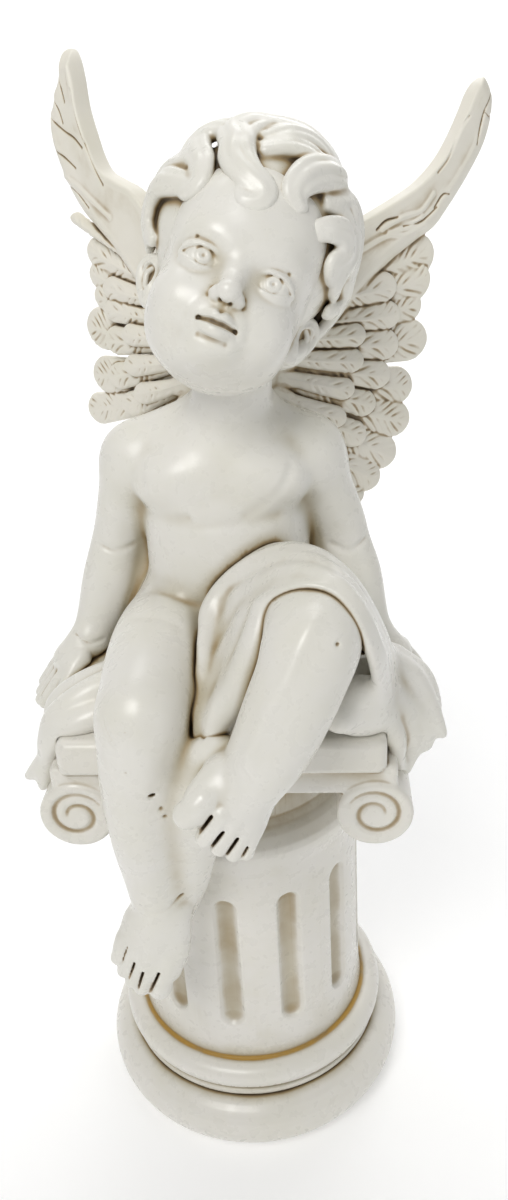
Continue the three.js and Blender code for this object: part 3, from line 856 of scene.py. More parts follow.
class Body:
    """The seated infant's bare body, without its head."""

    def sculpt(self) -> Clay:
        """Model the body.

        Returns:
            The finished clay.
        """
        clay = Clay((-120, -162, 154), (127, 74, 504), 0.95)
        self.add_torso(clay)
        self.add_legs(clay)
        self.add_arms(clay)
        self.add_web(clay)
        clay.melt(2.0)
        self.add_feet(clay)
        self.add_hands(clay)
        self.add_folds(clay)
        self.add_damage(clay)
        return clay

    def add_torso(self, clay: Clay) -> None:
        """Build the trunk, the neck and the shoulders.

        Args:
            clay: The body's clay.
        """
        clay.add(Blob((4, 4, 338), (48, 43, 34)))
        clay.add(Blob((4, -6, 374), (43.5, 37, 38)), 26)
        clay.add(Blob((3, 0, 414), (43, 35, 36)), 26)
        clay.add(Blob((4, 2, 440), (38, 27, 19)), 18)
        clay.roll([(-42, 3, 435, 17), (-20, 3, 441, 17.5), (4, 1, 445, 18), (28, 3, 441, 17.5),
                   (48, 4, 435, 17)], 14)
        clay.roll([(7, 0, 442, 24), (10, -5, 462, 20.5), (12, -9, 478, 20)], 12)
        clay.roll([(10, 6, 468, 13), (-10, 6, 453, 12), (-32, 5, 444, 12)], 9)
        clay.roll([(14, 6, 466, 13), (26, 6, 453, 12), (40, 5, 444, 12)], 9)
        for side, x in ((-1, -18), (1, 26)):
            clay.add(Blob((x, -18.5, 429), (23, 14.0, 15), (0, 6 * side, 0)), 9)
            clay.add(Blob((x - 2 * side, 25, 431), (18, 10, 23), (0, 10 * side, 0)), 10)
            clay.add(Blob((x + 1 * side, 20, 334), (30, 29, 27)), 7)

    def add_legs(self, clay: Clay) -> None:
        """Build the thighs, knees and calves.

        Args:
            clay: The body's clay.
        """
        clay.roll(RIGHT_LEG, 10)
        clay.roll(LEFT_LEG, 9)
        clay.add(Blob((-34, -107, 342), (19, 16, 18)), 9)
        clay.add(Blob((49, -106, 379), (19, 17, 18)), 9)
        clay.add(Blob((-38, -98, 300), (17, 18, 30)), 10)
        clay.add(Blob((38, -108, 340), (15, 17, 28), (-28, 18, 0)), 10)

    def add_arms(self, clay: Clay) -> None:
        """Build the arms.

        Args:
            clay: The body's clay.
        """
        clay.roll(RIGHT_ARM, 7)
        clay.roll(LEFT_ARM, 7)
        clay.add(Blob((-44, 4, 432), (17, 18, 20), (0, 14, 0)), 8)
        clay.add(Blob((50, 5, 432), (17, 18, 20), (0, -14, 0)), 8)
        for side, middle in ((-1, 4), (1, 6)):
            clay.add(Blob((middle + 50 * side, 12, 384), (9, 7, 34), (0, -10 * side, 0)), 6)
            clay.add(Blob((middle + 57 * side, 8, 346), (14, 8, 26), (0, -18 * side, 0)), 6)

    def add_web(self, clay: Clay) -> None:
        """Build the lump of casting that joins the right calf to the left foot and the column.

        Args:
            clay: The body's clay.
        """
        clay.roll([(2, -114, 324, 12), (-7, -108, 302, 17), (-14, -98, 277, 18), (-19, -92, 250, 15.5),
                   (-23, -88, 224, 12.5), (-29, -86, 200, 9), (-33, -84, 180, 6)], 9)
        clay.roll([(0, -84, 330, 16), (-6, -82, 300, 16), (-16, -76, 270, 12)], 10)

    def add_feet(self, clay: Clay) -> None:
        """Build the feet as rounded blocks with the toes parted by narrow slots.

        Args:
            clay: The body's clay.
        """
        clay.roll([(-38, -88, 212, 12), (-39, -99, 207, 14), (-42, -105, 195, 13.2),
                   (-45, -108, 185, 11.5)], 6)
        clay.roll([(-30, -101, 208, 9), (-31, -106, 192, 9.5), (-35, -110, 180, 8.5)], 5)
        clay.roll([(-50, -102, 206, 8), (-55, -107, 195, 7.5), (-57, -109, 188, 7)], 5)
        right_toes = (((-34, -110, 190), (-40, -117, 167.5), 7.6, 6.6),
                      ((-43, -111, 187), (-49.5, -117, 169), 6.2, 5.0),
                      ((-49, -111, 190), (-54.5, -116, 173), 5.8, 4.6),
                      ((-54, -110, 195), (-58.5, -115, 180), 5.4, 4.3),
                      ((-57, -108, 199), (-61.5, -113, 188), 5.0, 4.1))
        clay.roll([(16, -120, 312, 12), (15, -131, 318, 14), (10, -136, 311, 13.2),
                   (6, -139, 306, 11.5)], 6)
        clay.roll([(6, -132, 326, 9), (-1, -140, 320, 9), (-4, -144, 317, 7.5)], 5)
        clay.roll([(18, -130, 318, 9.5), (18, -137, 306, 9), (16, -140, 300, 7.5)], 5)
        left_toes = (((-1, -143, 321), (-8.5, -148, 315.5), 7.4, 6.8),
                     ((7, -145, 315), (-1, -150, 303.5), 6.0, 4.9),
                     ((12, -145, 311), (5, -149, 297), 5.6, 4.6),
                     ((17, -143, 307), (11, -148, 292.5), 5.2, 4.3),
                     ((20, -141, 302), (16.5, -145, 291), 4.8, 4.1))
        for start, end, wide, tip in (*right_toes, *left_toes):
            along = np.array(end) - np.array(start)
            digit = Digit(start, tuple(along), (0, 1, -0.3), float(np.linalg.norm(along)), wide, tip)
            add_digit(clay, digit, 1.2)
        right_slots = (((-38, 189), (-46.5, 163)), ((-46.5, 190), (-52.5, 166)), ((-51, 195), (-57.5, 172)),
                       ((-54.5, 204), (-61, 182)))
        for (x0, z0), (x1, z1) in right_slots:
            self.cut_slot(clay, (x0, -120, z0 - 5), (x1, -124, z1), (0.0, 1.0, -0.1), 8.0)
        left_slots = (((3, 321), (-4.5, 307)), ((8, 313), (0, 298)), ((14, 308), (5.5, 291)),
                      ((18, 302), (13, 289)))
        for (x0, z0), (x1, z1) in left_slots:
            self.cut_slot(clay, (x0, -150, z0 - 4), (x1, -154, z1), (0.0, 0.92, -0.38), 8.0)

    def cut_slot(self, clay: Clay, start: Point, end: Point, inward: Point, depth: float) -> None:
        """Part two toes with a narrow slot.

        Args:
            clay: The body's clay.
            start: Where the slot begins, on the foot.
            end: Where it runs out, beyond the tips.
            inward: Direction from the top of the foot to its sole.
            depth: How deep it goes.
        """
        for deep in np.arange(0.0, depth, 0.9):
            shift = unit(inward) * deep
            first, last = np.array(start) + shift, np.array(end) + shift
            radius = 1.2 - 0.75 * deep / depth
            clay.drill([(*first, radius * 0.7), (*last, radius)], 0.8, 3)

    def add_hands(self, clay: Clay) -> None:
        """Build the hands that lean on the cloth beside the hips.

        Args:
            clay: The body's clay.
        """
        for side, wrist, palm in ((-1, (-79, -11, 332), (-90, -17, 322)),
                                  (1, (83, -12, 332), (94, -18, 322))):
            along = unit((0.74 * side, -0.30, -0.62))
            across = unit((-0.30 * side, -0.93, 0.06))
            start, middle = np.array(wrist), np.array(palm)
            clay.roll([(*start, 10.0), (*(start * 0.5 + middle * 0.5), 10.6), (*middle, 9.6)], 5)
            clay.roll([(*(middle + across * -9), 7.2), (*(middle + across * 9), 7.4)], 5, 3)
            for index in range(4):
                root = middle + along * 3 + across * (index - 1.5) * 7.4
                length = (17.0, 20.0, 21.0, 19.0)[index]
                finger = Digit(tuple(root), tuple(along), (0.1 * side, 0, -1), length, 5.0, 3.9)
                add_digit(clay, finger, 1.4)
            root = start * 0.45 + middle * 0.55 + across * 11
            thumb = Digit(tuple(root), tuple(along + across * 0.55), (0, 0, -1), 17.0, 5.8, 4.4)
            add_digit(clay, thumb, 2.0)

    def add_folds(self, clay: Clay) -> None:
        """Press in the body's creases and soft dimples.

        Args:
            clay: The body's clay.
        """
        creases = (
            # under and beside the chest
            (((-37, -24, 439), (-37, -28, 430), (-36, -30, 422), (-31, -31, 416), (-23, -33, 413),
              (-13, -35, 414)), 2.2, 1.6),
            (((41, -26, 438), (38, -31, 431), (33, -34, 424), (26, -35, 419), (17, -36, 415)), 2.4, 1.4),
            (((-26, -31, 411), (-12, -35, 410), (4, -37, 411), (19, -35, 411), (33, -30, 412)), 3.6, 0.9),
            (((-37, -32, 374), (-22, -42, 371), (-4, -43, 369), (12, -44, 372)), 3.2, 0.9),
            # elbows and wrists
            (((-69, -3, 388), (-58, -6, 384), (-49, -2, 386)), 1.7, 1.4),
            (((60, -3, 384), (70, -6, 381), (79, 2, 385)), 1.7, 1.4),
            (((-85, -17, 339), (-77, -21, 335), (-69, -17, 335)), 1.3, 1.2),
            (((88, -17, 339), (81, -22, 335), (73, -17, 335)), 1.3, 1.2),
            # hip, knee and ankles
            (((-44, -60, 371), (-31, -63, 372), (-19, -65, 369)), 3.4, 0.6),
            (((-49, -119, 350), (-47, -122, 345), (-43, -126, 340)), 1.1, 1.3),
            (((-51, -109, 230), (-43, -113, 224), (-35, -113, 221), (-28, -108, 223), (-22, -99, 228)),
             1.0, 1.3),
            (((14, -143, 341), (18, -144, 337), (22, -145, 333)), 0.9, 0.9),
            (((17, -142, 343), (21, -143, 339)), 0.9, 0.7),
            # ridge of the left shin
            (((50, -117, 397), (44, -124, 388), (38, -130, 376), (28, -137, 360), (19, -143, 342)),
             3.6, -1.4),
            # spine, shoulder blades and seat
            (((4, 38, 446), (4, 40, 420), (4, 38, 394), (4, 40, 368)), 5.0, 2.4),
            (((4, 48, 362), (4, 50, 344), (4, 48, 326)), 2.2, 3.0),
            (((-14, 36, 438), (-8, 37, 424), (-12, 36, 410)), 4.0, 1.3),
            (((22, 36, 438), (16, 37, 424), (20, 36, 410)), 4.0, 1.3),
            (((-34, 42, 364), (-14, 44, 360)), 3.0, 0.8),
            (((42, 42, 364), (22, 44, 360)), 3.0, 0.8),
        )
        for points, width, depth in creases:
            clay.crease(points, width, depth)

    def add_damage(self, clay: Clay) -> None:
        """Press in the casting's pits and chips.

        Args:
            clay: The body's clay.
        """
        pits = (((61, -121, 388), (1.3, 2.0, 1.3)), ((-37, -126, 346), (0.9, 1.4, 0.9)),
                ((-39, -130, 326), (2.2, 1.4, 1.3)), ((-28, -127, 311), (1.8, 3.6, 1.6)),
                ((-25, -124, 300), (1.1, 1.8, 2.0)), ((-24, -122, 294), (1.2, 1.7, 1.3)),
                ((-5, -82, 348), (1.8, 3.0, 2.6)), ((-8, -155, 316), (0.9, 1.8, 0.9)),
                ((-3, -112, 335), (1.6, 3.0, 1.4)), ((-8, -110, 326), (1.6, 3.4, 1.2)))
        for at, size in pits:
            clay.carve(Blob(at, size), 0.6)


# ------------------------------------------------------------------ cloth

HEM = ((-6, -92, 345), (-1, -60, 348), (14, -74, 375), (31, -91, 397), (46, -96, 405), (60, -99, 403),
       (70, -105, 392), (77, -105, 374), (81, -95, 352), (83, -82, 332), (82, -68, 318))
MIDDLE_FOLD = ((-6, -78, 357), (0, -49, 371), (18, -53, 389), (33, -60, 400), (46, -73, 406),
               (60, -85, 405), (71, -91, 395), (80, -89, 374), (85, -79, 352), (88, -68, 332), (88, -56, 320))
UPPER_FOLD = ((-6, -50, 371), (4, -47, 383), (16, -46, 392), (28, -43, 398), (40, -49, 403), (54, -59, 404),
              (68, -65, 394), (79, -63, 373), (87, -57, 350), (91, -50, 332), (92, -44, 320))
HIP_LINE = ((8, -38, 380), (18, -38, 390), (27, -35, 395), (38, -33, 396), (50, -35, 393), (61, -40, 387),
            (71, -44, 376), (79, -42, 362), (85, -38, 346), (89, -35, 332), (90, -32, 320))

# Rolls that make the cloth under each hand: x, y, rise above the seat, radius.
RIGHT_FALLS = (
    ((-46, -48, 20, 9), (-70, -60, 16, 7.5), (-88, -65, 5, 6.5), (-95, -67, -9, 5), (-97, -66, -19, 4.5),
     (-104, -63, -30, 4.5), (-112, -60, -39, 3.0)),
    ((-44, -56, 10, 9), (-68, -69, 6, 8), (-85, -72, -1, 6.5), (-92, -71, -12, 5), (-95, -68, -21, 4.5),
     (-99, -66, -34, 4.5), (-103, -64, -44, 3.0)),
    ((-52, -36, 16, 9), (-76, -46, 12, 8), (-91, -50, 3, 6.5), (-96, -53, -12, 5), (-99, -53, -24, 4.5),
     (-107, -50, -38, 3.2)),
)
LEFT_FALLS = (
    ((72, -54, 24, 8), (87, -58, 14, 7.5), (97, -60, -4, 6), (101, -58, -22, 5), (98, -56, -40, 3.5)),
    ((84, -44, 24, 8), (100, -48, 15, 7.5), (110, -51, 0, 5.5), (116, -53, -14, 4), (119, -53, -20, 2.6)),
    ((68, -64, 14, 7.5), (83, -68, 5, 6.5), (91, -70, -9, 5.5), (93, -67, -24, 4), (94, -62, -34, 3)),
    ((78, -50, 16, 8), (95, -54, 6, 7), (106, -55, -8, 5.5), (109, -55, -24, 4)),
    ((92, -36, 20, 8), (106, -38, 10, 7), (113, -40, -6, 5.5), (114, -42, -20, 4)),
    ((88, -28, 12, 8), (102, -30, 2, 6.5), (106, -32, -16, 5), (106, -36, -32, 3.5)),
)
KNEE_FILLS = (((72, -84, 340, 9), (76, -74, 322, 12), (80, -62, 318, 12)),
              ((62, -88, 330, 10), (70, -72, 318, 10)))


class Cloth:
    """The carved cloth under the figure, over its left thigh and down both sides of the seat."""

    def sculpt(self, seat_top: float) -> Clay:
        """Model the cloth.

        Args:
            seat_top: Height of the column's seat.

        Returns:
            The finished clay.
        """
        clay = Clay((-120, -162, 154), (127, 74, 504), 0.95)
        clay.add(Blob((3, 2, seat_top + 1), (84, 68, 12)))
        self.add_lap(clay)
        self.add_tail(clay)
        self.add_falls(clay, seat_top)
        clay.melt(1.9)
        clay.carve(Slab((0, 0, seat_top - 30), (86.3, 86.3, 30.2), 4.5), 0.6)
        return clay

    def add_lap(self, clay: Clay) -> None:
        """Drape the sheet over the thigh, with folds that follow its hem.

        Args:
            clay: The cloth's clay.
        """
        lines = np.array((HEM, MIDDLE_FOLD, UPPER_FOLD, HIP_LINE), dtype=np.float64)
        count = lines.shape[1]
        steps = 9
        across = smooth_route(lines.reshape(len(lines), -1), steps).reshape(-1, count, 3)
        middle = np.array((38.0, -50.0, 345.0))
        for row, line in enumerate(across):
            wave = math.cos(2 * math.pi * row / 5.4)
            minor = math.cos(2 * math.pi * row / 3.1 + 0.6)
            outward = line - middle
            outward /= np.linalg.norm(outward, axis=1)[:, None]
            share = np.linspace(0.0, 1.0, count)
            swell = 0.35 + 0.65 * np.sin(np.clip(share * 1.15, 0, 1) * math.pi) ** 0.7
            sunk = 0.6 + 1.7 * max(0.0, 1 - row / 4)
            lifted = line + outward * ((1.3 * wave + 0.6 * minor) * swell - sunk)[:, None]
            radius = np.full((count, 1), 2.3 if row == 0 else 2.8)
            clay.roll(np.hstack([lifted, radius]), 2.2, 3)

    def add_tail(self, clay: Clay) -> None:
        """Gather the cloth into the tail that hangs between the thighs.

        Args:
            clay: The cloth's clay.
        """
        clay.roll([(20, -72, 380, 4), (10, -72, 362, 6), (2, -88, 346, 6.5), (-4, -102, 337, 5),
                   (-6, -110, 326, 3.5)], 2)
        clay.roll([(6, -48, 380, 4), (1, -60, 360, 6), (-4, -82, 347, 6), (-8, -98, 338, 4.5)], 2)
        clay.roll([(28, -86, 388, 3.5), (18, -84, 368, 5), (9, -96, 350, 6), (2, -108, 338, 5),
                   (-1, -114, 326, 3.5)], 2)
        clay.roll([(14, -58, 378, 5), (6, -64, 358, 7), (0, -80, 342, 7), (-2, -96, 332, 5)], 4)
        clay.roll([(27, -88, 388, 6), (23, -94, 372, 9), (15, -100, 354, 9), (6, -104, 340, 7),
                   (0, -104, 324, 5)], 5)
        clay.roll([(20, -76, 372, 9), (14, -84, 352, 11), (6, -92, 336, 9)], 6)

    def add_falls(self, clay: Clay, seat_top: float) -> None:
        """Hang the cloth down both sides of the seat, under the hands.

        Args:
            clay: The cloth's clay.
            seat_top: Height of the column's seat.
        """
        for side, falls, fills, start, end in ((-1, RIGHT_FALLS, (), -44.0, 56.0),
                                               (1, LEFT_FALLS, KNEE_FILLS, -30.0, 58.0)):
            for fall in falls:
                clay.roll([(x, y, seat_top + rise, radius) for x, y, rise, radius in fall], 5.0, 4)
            for fill in fills:
                clay.roll(fill, 6)
            for route in self.hanging_rows(side, seat_top, start, end):
                clay.roll(route, 4.0, 4)

    def hanging_rows(self, side: int, top: float, start: float, end: float) -> Iterable[list[Knot]]:
        """Lay out the plainer cloth that hangs from the side of the seat towards the back.

        Args:
            side: 1 on the statue's left, -1 on its right.
            top: Height of the seat.
            start: Where it begins, towards the front.
            end: Where it ends, towards the back.

        Yields:
            Routes over the seat's edge and down.
        """
        for y in np.arange(start, end, 4.0):
            wave = math.sin((y - start) / 13.0)
            drop = 6 * math.cos((y - start) / 21.0) + max(0.0, y - 30.0) * 0.4
            yield [(side * 66, y, top + 7, 6.5), (side * 84, y, top + 4 + 1.2 * wave, 5.0),
                   (side * (91 + wave), y, top - 8, 4.4), (side * (94 + 3.5 * wave), y, top - 24, 3.8),
                   (side * (98 + 6.5 * wave), y, top - 40 + drop, 3.0)]


# ------------------------------------------------------------------ hair

@dataclass(frozen=True)
class Lock:
    """One carved lock, guided by directions seen from the middle of the hair.

    Attributes:
        guides: Rows of turn from the front (towards the statue's left), height above level, both
            in degrees, and lift above the cap in millimetres.
        width: Full width of the lock at its widest.
        tip: Width of the curled end.
        strands: Ridges side by side.
    """

    guides: tuple[tuple[float, float, float], ...]
    width: float = 13.0
    tip: float = 4.0
    strands: int = 3


FRONT_LOCKS = (
    # forelock with its hook on the forehead
    Lock(((-12, 64, 4), (-26, 62, 7), (-40, 57, 8), (-42, 46, 7), (-29, 34, 6), (-23, 24, 5), (-12, 16, 5),
          (-2, 11, 5), (-2, 5, 5), (-9, 3, 5), (-14, 7, 4)), 13.0, 4.4),
    Lock(((-8, 60, 3), (-26, 56, 5), (-28, 42, 4), (-20, 28, 4), (-9, 18, 4), (-1, 17, 3)), 9.0, 4.0, 2),
    # broad sweep over the top towards the statue's left
    Lock(((-52, 50, 4), (-34, 62, 7), (5, 68, 8), (34, 64, 8), (50, 56, 7), (60, 46, 5)), 17.0, 9.0, 4),
    Lock(((-16, 46, 3), (-2, 54, 6), (20, 58, 7), (42, 54, 6), (54, 46, 4)), 12.5, 7.0),
    Lock(((-12, 38, 2), (2, 44, 4), (20, 46, 5), (36, 42, 4), (46, 36, 3)), 8.5, 5.0, 2),
    # thick roll that turns under itself above the statue's left brow
    Lock(((58, 48, 5), (46, 46, 7), (32, 40, 7), (21, 33, 6), (15, 25, 6), (13, 17, 5), (19, 11, 4)), 14.5,
         6.5),
    Lock(((62, 46, 4), (56, 36, 6), (46, 30, 5), (36, 26, 3)), 11.5, 6.0),
    # loops above the statue's right temple
    Lock(((-36, 60, 4), (-50, 52, 7), (-62, 44, 9), (-68, 34, 9), (-62, 24, 7), (-52, 17, 5)), 12.0, 5.0),
    Lock(((-32, 50, 3), (-44, 46, 6), (-58, 44, 9), (-64, 36, 9), (-54, 27, 7), (-43, 19, 6), (-38, 8, 5),
          (-43, 2, 5), (-50, 4, 5)), 12.0, 4.2),
    # long waves beside the statue's right temple
    Lock(((-41, 6, 4), (-54, 7, 7), (-68, 8, 10), (-80, 3, 10), (-85, -7, 9), (-82, -15, 7), (-74, -21, 5)),
         12.0, 4.4),
    Lock(((-56, 20, 5), (-70, 20, 9), (-84, 14, 10), (-92, 3, 9), (-92, -9, 8), (-86, -20, 6)), 12.0, 4.4),
    Lock(((-66, 36, 4), (-82, 32, 8), (-96, 22, 9), (-103, 8, 8), (-103, -6, 7), (-98, -19, 6)), 12.5, 5.0),
    # waves on the statue's left temple
    Lock(((52, 42, 4), (60, 36, 8), (70, 27, 9), (76, 16, 9), (78, 4, 9), (83, -6, 7)), 13.0, 6.0),
    Lock(((33, 7, 3), (39, 11, 7), (49, 14, 9), (57, 9, 9), (55, 3, 8), (52, -2, 7), (58, -6, 6),
          (68, -5, 6)),
         11.0, 4.6),
    Lock(((44, 32, 3), (54, 26, 6), (62, 20, 8), (66, 9, 9), (63, 0, 8), (66, -8, 7), (75, -10, 6)), 11.0,
         5.0),
    Lock(((78, 32, 4), (88, 22, 7), (92, 8, 9), (90, -5, 9), (84, -14, 9), (76, -20, 7)), 12.5, 5.0),
    # large leaf-like lock over the statue's left ear
    Lock(((62, 2, 4), (72, 2, 7), (84, 0, 9), (96, -6, 10), (102, -16, 10), (103, -27, 9), (98, -36, 7)),
         12.0, 5.0),
    # locks behind the ear, down beside the neck
    Lock(((100, -28, 6), (96, -40, 9), (88, -49, 10), (77, -56, 8), (64, -60, 5)), 13.5, 4.0),
    Lock(((110, -30, 6), (106, -44, 8), (98, -54, 8), (88, -60, 5)), 12.0, 4.0),
)


class Hair:
    """Short carved curls over the whole skull, in the head's frame."""

    middle = (0.0, 9.5, 34.5)
    size = (43.5, 48.5, 53.0)

    def sculpt(self) -> Clay:
        """Model the hair.

        Returns:
            The finished clay.
        """
        clay = Clay((-66, -58, -52), (66, 76, 102), 0.68)
        clay.add(Blob(self.middle, self.size))
        clay.add(Blob((0, 27, 6), (34, 27, 36)), 12)
        for side in (-1, 1):
            clay.add(Blob((35 * side, -4, 34), (8, 15, 16), (0, 7 * side, -18 * side)), 8)
        for lock in (*FRONT_LOCKS, *self.back_locks()):
            self.add_lock(clay, lock)
        clay.melt(0.7)
        return clay

    def back_locks(self) -> list[Lock]:
        """Lay out the plainer locks of the crown and the back.

        Returns:
            The locks, from the nape upwards.
        """
        dice = np.random.default_rng(7)
        locks = []
        for row, height in enumerate((-38, -20, -2, 16, 34, 52, 68)):
            around = 118 if height < 60 else 60
            spacing = 25 if height < 40 else 34 if height < 60 else 60
            shift = (row % 2) * spacing / 2
            turn = around + shift
            while turn < 360 - around + 1:
                sway = 9.0 if (row + int(turn / spacing)) % 2 else -9.0
                sway += float(dice.uniform(-3, 3))
                top = height + 16 + float(dice.uniform(-2, 2))
                lift = 5.0 + float(dice.uniform(-0.8, 0.8))
                hook = 1.0 if sway > 0 else -1.0
                wide = 1.0 / max(0.45, math.cos(math.radians(height)))
                locks.append(Lock((
                    (turn - sway * 0.3 * wide, top, lift - 3.5), (turn + sway * wide, height + 6, lift),
                    (turn - sway * 0.7 * wide, height - 6, lift + 1.2),
                                   (turn + hook * 6 * wide, height - 14, lift + 1.5),
                    (turn + hook * 12 * wide, height - 9, lift + 0.5)), 13.0, 4.6))
                turn += spacing
        return locks

    def spot(self, turn: float, height: float, lift: float) -> np.ndarray:
        """Find a place above the cap.

        Args:
            turn: Direction from the front in degrees, towards the statue's left.
            height: Height above level in degrees.
            lift: Distance above the cap.

        Returns:
            The place in the head's frame.
        """
        a, h = math.radians(turn), math.radians(height)
        ahead = np.array([math.sin(a) * math.cos(h), -math.cos(a) * math.cos(h), math.sin(h)])
        stretch = 1.0 / math.sqrt(sum((d / s) ** 2 for d, s in zip(ahead, self.size)))
        return np.array(self.middle) + ahead * (stretch + lift)

    def add_lock(self, clay: Clay, lock: Lock) -> None:
        """Lay one lock as a bundle of strands that narrows to its tip.

        Args:
            clay: The hair's clay.
            lock: Its guides and sizes.
        """
        knots = [self.spot(turn, height, 0.85 * lift - 0.6) for turn, height, lift in lock.guides]
        route = smooth_route(knots, 5)
        forward = np.gradient(route, axis=0)
        forward /= np.linalg.norm(forward, axis=1)[:, None]
        outward = (route - np.array(self.middle)) / np.array(self.size) ** 2
        outward /= np.linalg.norm(outward, axis=1)[:, None]
        sideways = np.cross(forward, outward)
        sideways /= np.linalg.norm(sideways, axis=1)[:, None]
        share = np.linspace(0.0, 1.0, len(route))
        swell = np.clip(0.45 + 1.9 * share, 0, 1) * (1 - np.clip((share - 0.45) / 0.55, 0, 1) ** 1.4)
        width = lock.tip + (lock.width - lock.tip) * swell
        for index in range(lock.strands):
            place = (index - (lock.strands - 1) / 2) / lock.strands
            radius = width / lock.strands * 0.66 + 0.9
            offset = (place * width)[:, None] * sideways - (abs(place) * width * 0.30)[:, None] * outward
            strand = np.hstack([route + offset, radius[:, None]])
            clay.roll(strand, 0.9, 1)


# ------------------------------------------------------------------ head

@dataclass(frozen=True)
class Pose:
    """Where a modelled part sits on the statue.

    Attributes:
        at: The part's own origin, in millimetres.
        tilt: Turns about X, then Y, then Z, in degrees.
    """

    at: Point
    tilt: Point

    def place(self, points: np.ndarray) -> np.ndarray:
        """Move points from the part's own frame to the statue's.

        Args:
            points: Rows of x, y and z in millimetres.

        Returns:
            The moved rows.
        """
        return points @ rotation(self.tilt).T.astype(np.float64) + np.array(self.at)


HEAD_POSE = Pose((11.5, -20.0, 513.0), (-27.0, 24.0, -1.5))


@dataclass(frozen=True)
class Eye:
    """Proportions of one eye, as angles on its ball.

    Attributes:
        at: Middle of the ball for the statue's left eye.
        radius: Radius of the ball.
        upper: How far the upper lid's edge stands above the middle, in degrees.
        lower: How far the lower lid's edge lies below it.
        slant: How far the outer corner is raised, in degrees.
        iris: Radius of the incised ring.
    """

    at: Point = (16.0, -29.8, 8.0)
    radius: float = 10.2
    upper: float = 25.0
    lower: float = 19.0
    slant: float = 3.0
    iris: float = 4.1


